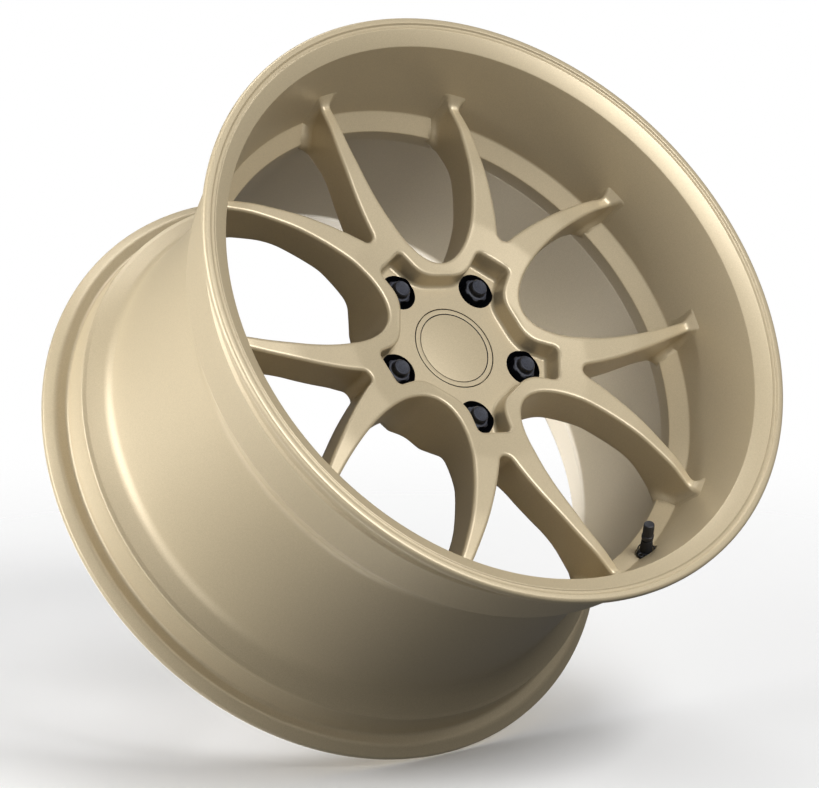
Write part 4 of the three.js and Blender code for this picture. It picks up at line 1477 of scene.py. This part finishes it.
@dataclass(frozen=True)
class Studio:
    """Camera, floor, pale surroundings and soft lamps."""

    camera_at: tuple[float, float, float] = (-2.169, -2.460, 0.0557)
    right: tuple[float, float, float] = (0.5183, -0.4726, -0.7127)
    up: tuple[float, float, float] = (0.5431, -0.4618, 0.7012)
    lens: float = 186.36
    sensor: float = 36.0
    clip: tuple[float, float] = (0.05, 60.0)
    surround: float = 0.09
    floor_lean: float = math.radians(13.0)
    floor_radius: float = 1.05
    floor_solid: float = 0.3
    floor_white: float = 0.92
    floor_rings: int = 40
    floor_segments: int = 128
    lamps: tuple[Lamp, ...] = (
        Lamp("front", 1.6, 1.6, 2.1, 1.5, 92.0),
        Lamp("side", -2.6, 0.7, 0.8, 2.2, 64.0),
        Lamp("fill", -1.9, -0.75, 1.95, 2.4, 25.0),
        Lamp("top", -0.3, 2.8, -0.6, 1.4, 22.0),
        Lamp("rear", -1.0, -0.9, -1.6, 1.8, 27.0, only="barrel"),
    )

    def _axes(self) -> tuple[Vector, Vector, Vector]:
        """Right, up and towards-the-camera, square to each other."""
        right = Vector(self.right).normalized()
        up = Vector(self.up)
        up = (up - right * up.dot(right)).normalized()
        return right, up, right.cross(up)

    def place_camera(self) -> None:
        """Makes the scene's camera."""
        right, up, towards = self._axes()
        data = bpy.data.cameras.new("camera")
        data.lens = self.lens
        data.sensor_width = self.sensor
        data.clip_start, data.clip_end = self.clip
        camera = bpy.data.objects.new("camera", data)
        turn = Matrix((right, up, towards)).transposed().to_4x4()
        camera.matrix_world = Matrix.Translation(self.camera_at) @ turn
        bpy.context.scene.collection.objects.link(camera)
        bpy.context.scene.camera = camera

    def place_lamps(self) -> None:
        """Makes the lamps, each facing the wheel's centre."""
        right, up, towards = self._axes()
        for lamp in self.lamps:
            data = bpy.data.lights.new(lamp.name, "AREA")
            data.shape = "SQUARE"
            data.size = lamp.size
            data.energy = lamp.power
            made = bpy.data.objects.new(lamp.name, data)
            at = right * lamp.right + up * lamp.above + towards * lamp.towards
            made.matrix_world = Matrix.Translation(at) @ at.to_track_quat("Z", "Y").to_matrix().to_4x4()
            bpy.context.scene.collection.objects.link(made)
            if lamp.only:
                lit = bpy.data.collections.new(f"lit_by_{lamp.name}")
                lit.objects.link(bpy.data.objects[lamp.only])
                made.light_linking.receiver_collection = lit

    def lay_floor(self) -> None:
        """A pale disc that the wheel leans on, nearly level in the view and fading out at its edge."""
        right, up, towards = self._axes()
        normal = up * math.cos(self.floor_lean) + towards * math.sin(self.floor_lean)
        reach = CAD_BOX[1]
        drop = reach.z * math.hypot(normal.x, normal.z) + reach.y * abs(normal.y)
        centre = -normal * drop
        radius = np.linspace(0.0, self.floor_radius / MM, self.floor_rings)
        level = turned(np.stack([radius, 0.0 * radius], axis=1), self.floor_segments)
        basis = np.array([right, normal, normal.cross(right)])
        mesh = sewn("floor", level @ basis + np.array(centre) / MM)
        if mesh.polygons[0].normal.dot(normal) < 0.0:
            mesh.flip_normals()
        mesh.materials.append(self._floor_material(centre))
        floor = bpy.data.objects.new("floor", mesh)
        bpy.context.scene.collection.objects.link(floor)

    def _floor_material(self, centre: Vector) -> Material:
        """Matt white that fades out away from the centre and shows only to the camera, from above."""
        made = bpy.data.materials.new("pale_floor")
        made.use_nodes = True
        tree = made.node_tree
        place = tree.nodes.new("ShaderNodeTexCoord").outputs["Object"]
        place = tree.nodes.new("ShaderNodeTexCoord").outputs["Object"]
        away = node(tree, "ShaderNodeVectorMath", {0: place, 1: centre}, operation="DISTANCE")
        span = {
            "Value": away.outputs["Value"],
            "From Min": self.floor_solid,
            "From Max": self.floor_radius,
            "To Min": 1.0,
            "To Max": 0.0,
        }
        fade = node(tree, "ShaderNodeMapRange", span, interpolation_type="SMOOTHSTEP")
        under = tree.nodes.new("ShaderNodeNewGeometry").outputs["Backfacing"]
        shown = maths(tree, "MULTIPLY", fade.outputs["Result"], maths(tree, "SUBTRACT", 1.0, under))
        direct = tree.nodes.new("ShaderNodeLightPath").outputs["Is Camera Ray"]
        looks = {
            "Base Color": (*[self.floor_white] * 3, 1.0),
            "Roughness": 0.95,
            "Alpha": maths(tree, "MULTIPLY", shown, direct),
        }
        feed(tree, tree.nodes["Principled BSDF"], looks)
        return made
        return made

    def light_surround(self) -> None:
        """Pale surroundings: seen white, and lighting the wheel softly."""
        world = bpy.data.worlds.new("surround")
        bpy.context.scene.world = world
        world.use_nodes = True
        tree = world.node_tree
        lit = tree.nodes["Background"]
        white = (1.0, 1.0, 1.0, 1.0)
        feed(tree, lit, {"Color": white, "Strength": self.surround})
        seen = node(tree, "ShaderNodeBackground", {"Color": white, "Strength": 1.0})
        direct = tree.nodes.new("ShaderNodeLightPath").outputs["Is Camera Ray"]
        mix = node(tree, "ShaderNodeMixShader", {"Fac": direct, 1: lit.outputs[0], 2: seen.outputs[0]})
        tree.links.new(mix.outputs[0], tree.nodes["World Output"].inputs["Surface"])

    def build(self) -> None:
        """Sets up the whole studio."""
        self.place_camera()
        self.place_lamps()
        self.lay_floor()
        self.light_surround()
        bpy.context.scene.view_settings.view_transform = "Standard"


# ---- Making ----------------------------------------------------------------------------------


def main() -> None:
    """Builds the wheel piece by piece, then the studio."""
    logging.basicConfig(level=logging.INFO, format="%(message)s")
    build_flake()
    build_drift()
    build_grain()
    used = (PAINT, BLACK_STEEL, CROWN_PAINTED_SHEEN, BLACK_PLASTIC, RUBBER, BRASS, SPRING_STEEL)
    finishes = {finish.name: finish.material() for finish in used}
    paint = finishes[PAINT.name]
    barrel, valve, nuts = Barrel(), TyreValve(), LugNuts()
    barrel.build(valve, paint)
    SpokeStar(barrel).build(nuts.centres(), paint, finishes[BLACK_STEEL.name])
    nuts.build(finishes[BLACK_STEEL.name], finishes[CROWN_PAINTED_SHEEN.name])
    CentreCap().build(paint, finishes[BLACK_PLASTIC.name], finishes[SPRING_STEEL.name])
    valve.build(finishes)
    dress_kept(finishes)
    Studio().build()


if __name__ == "__main__":
    main()
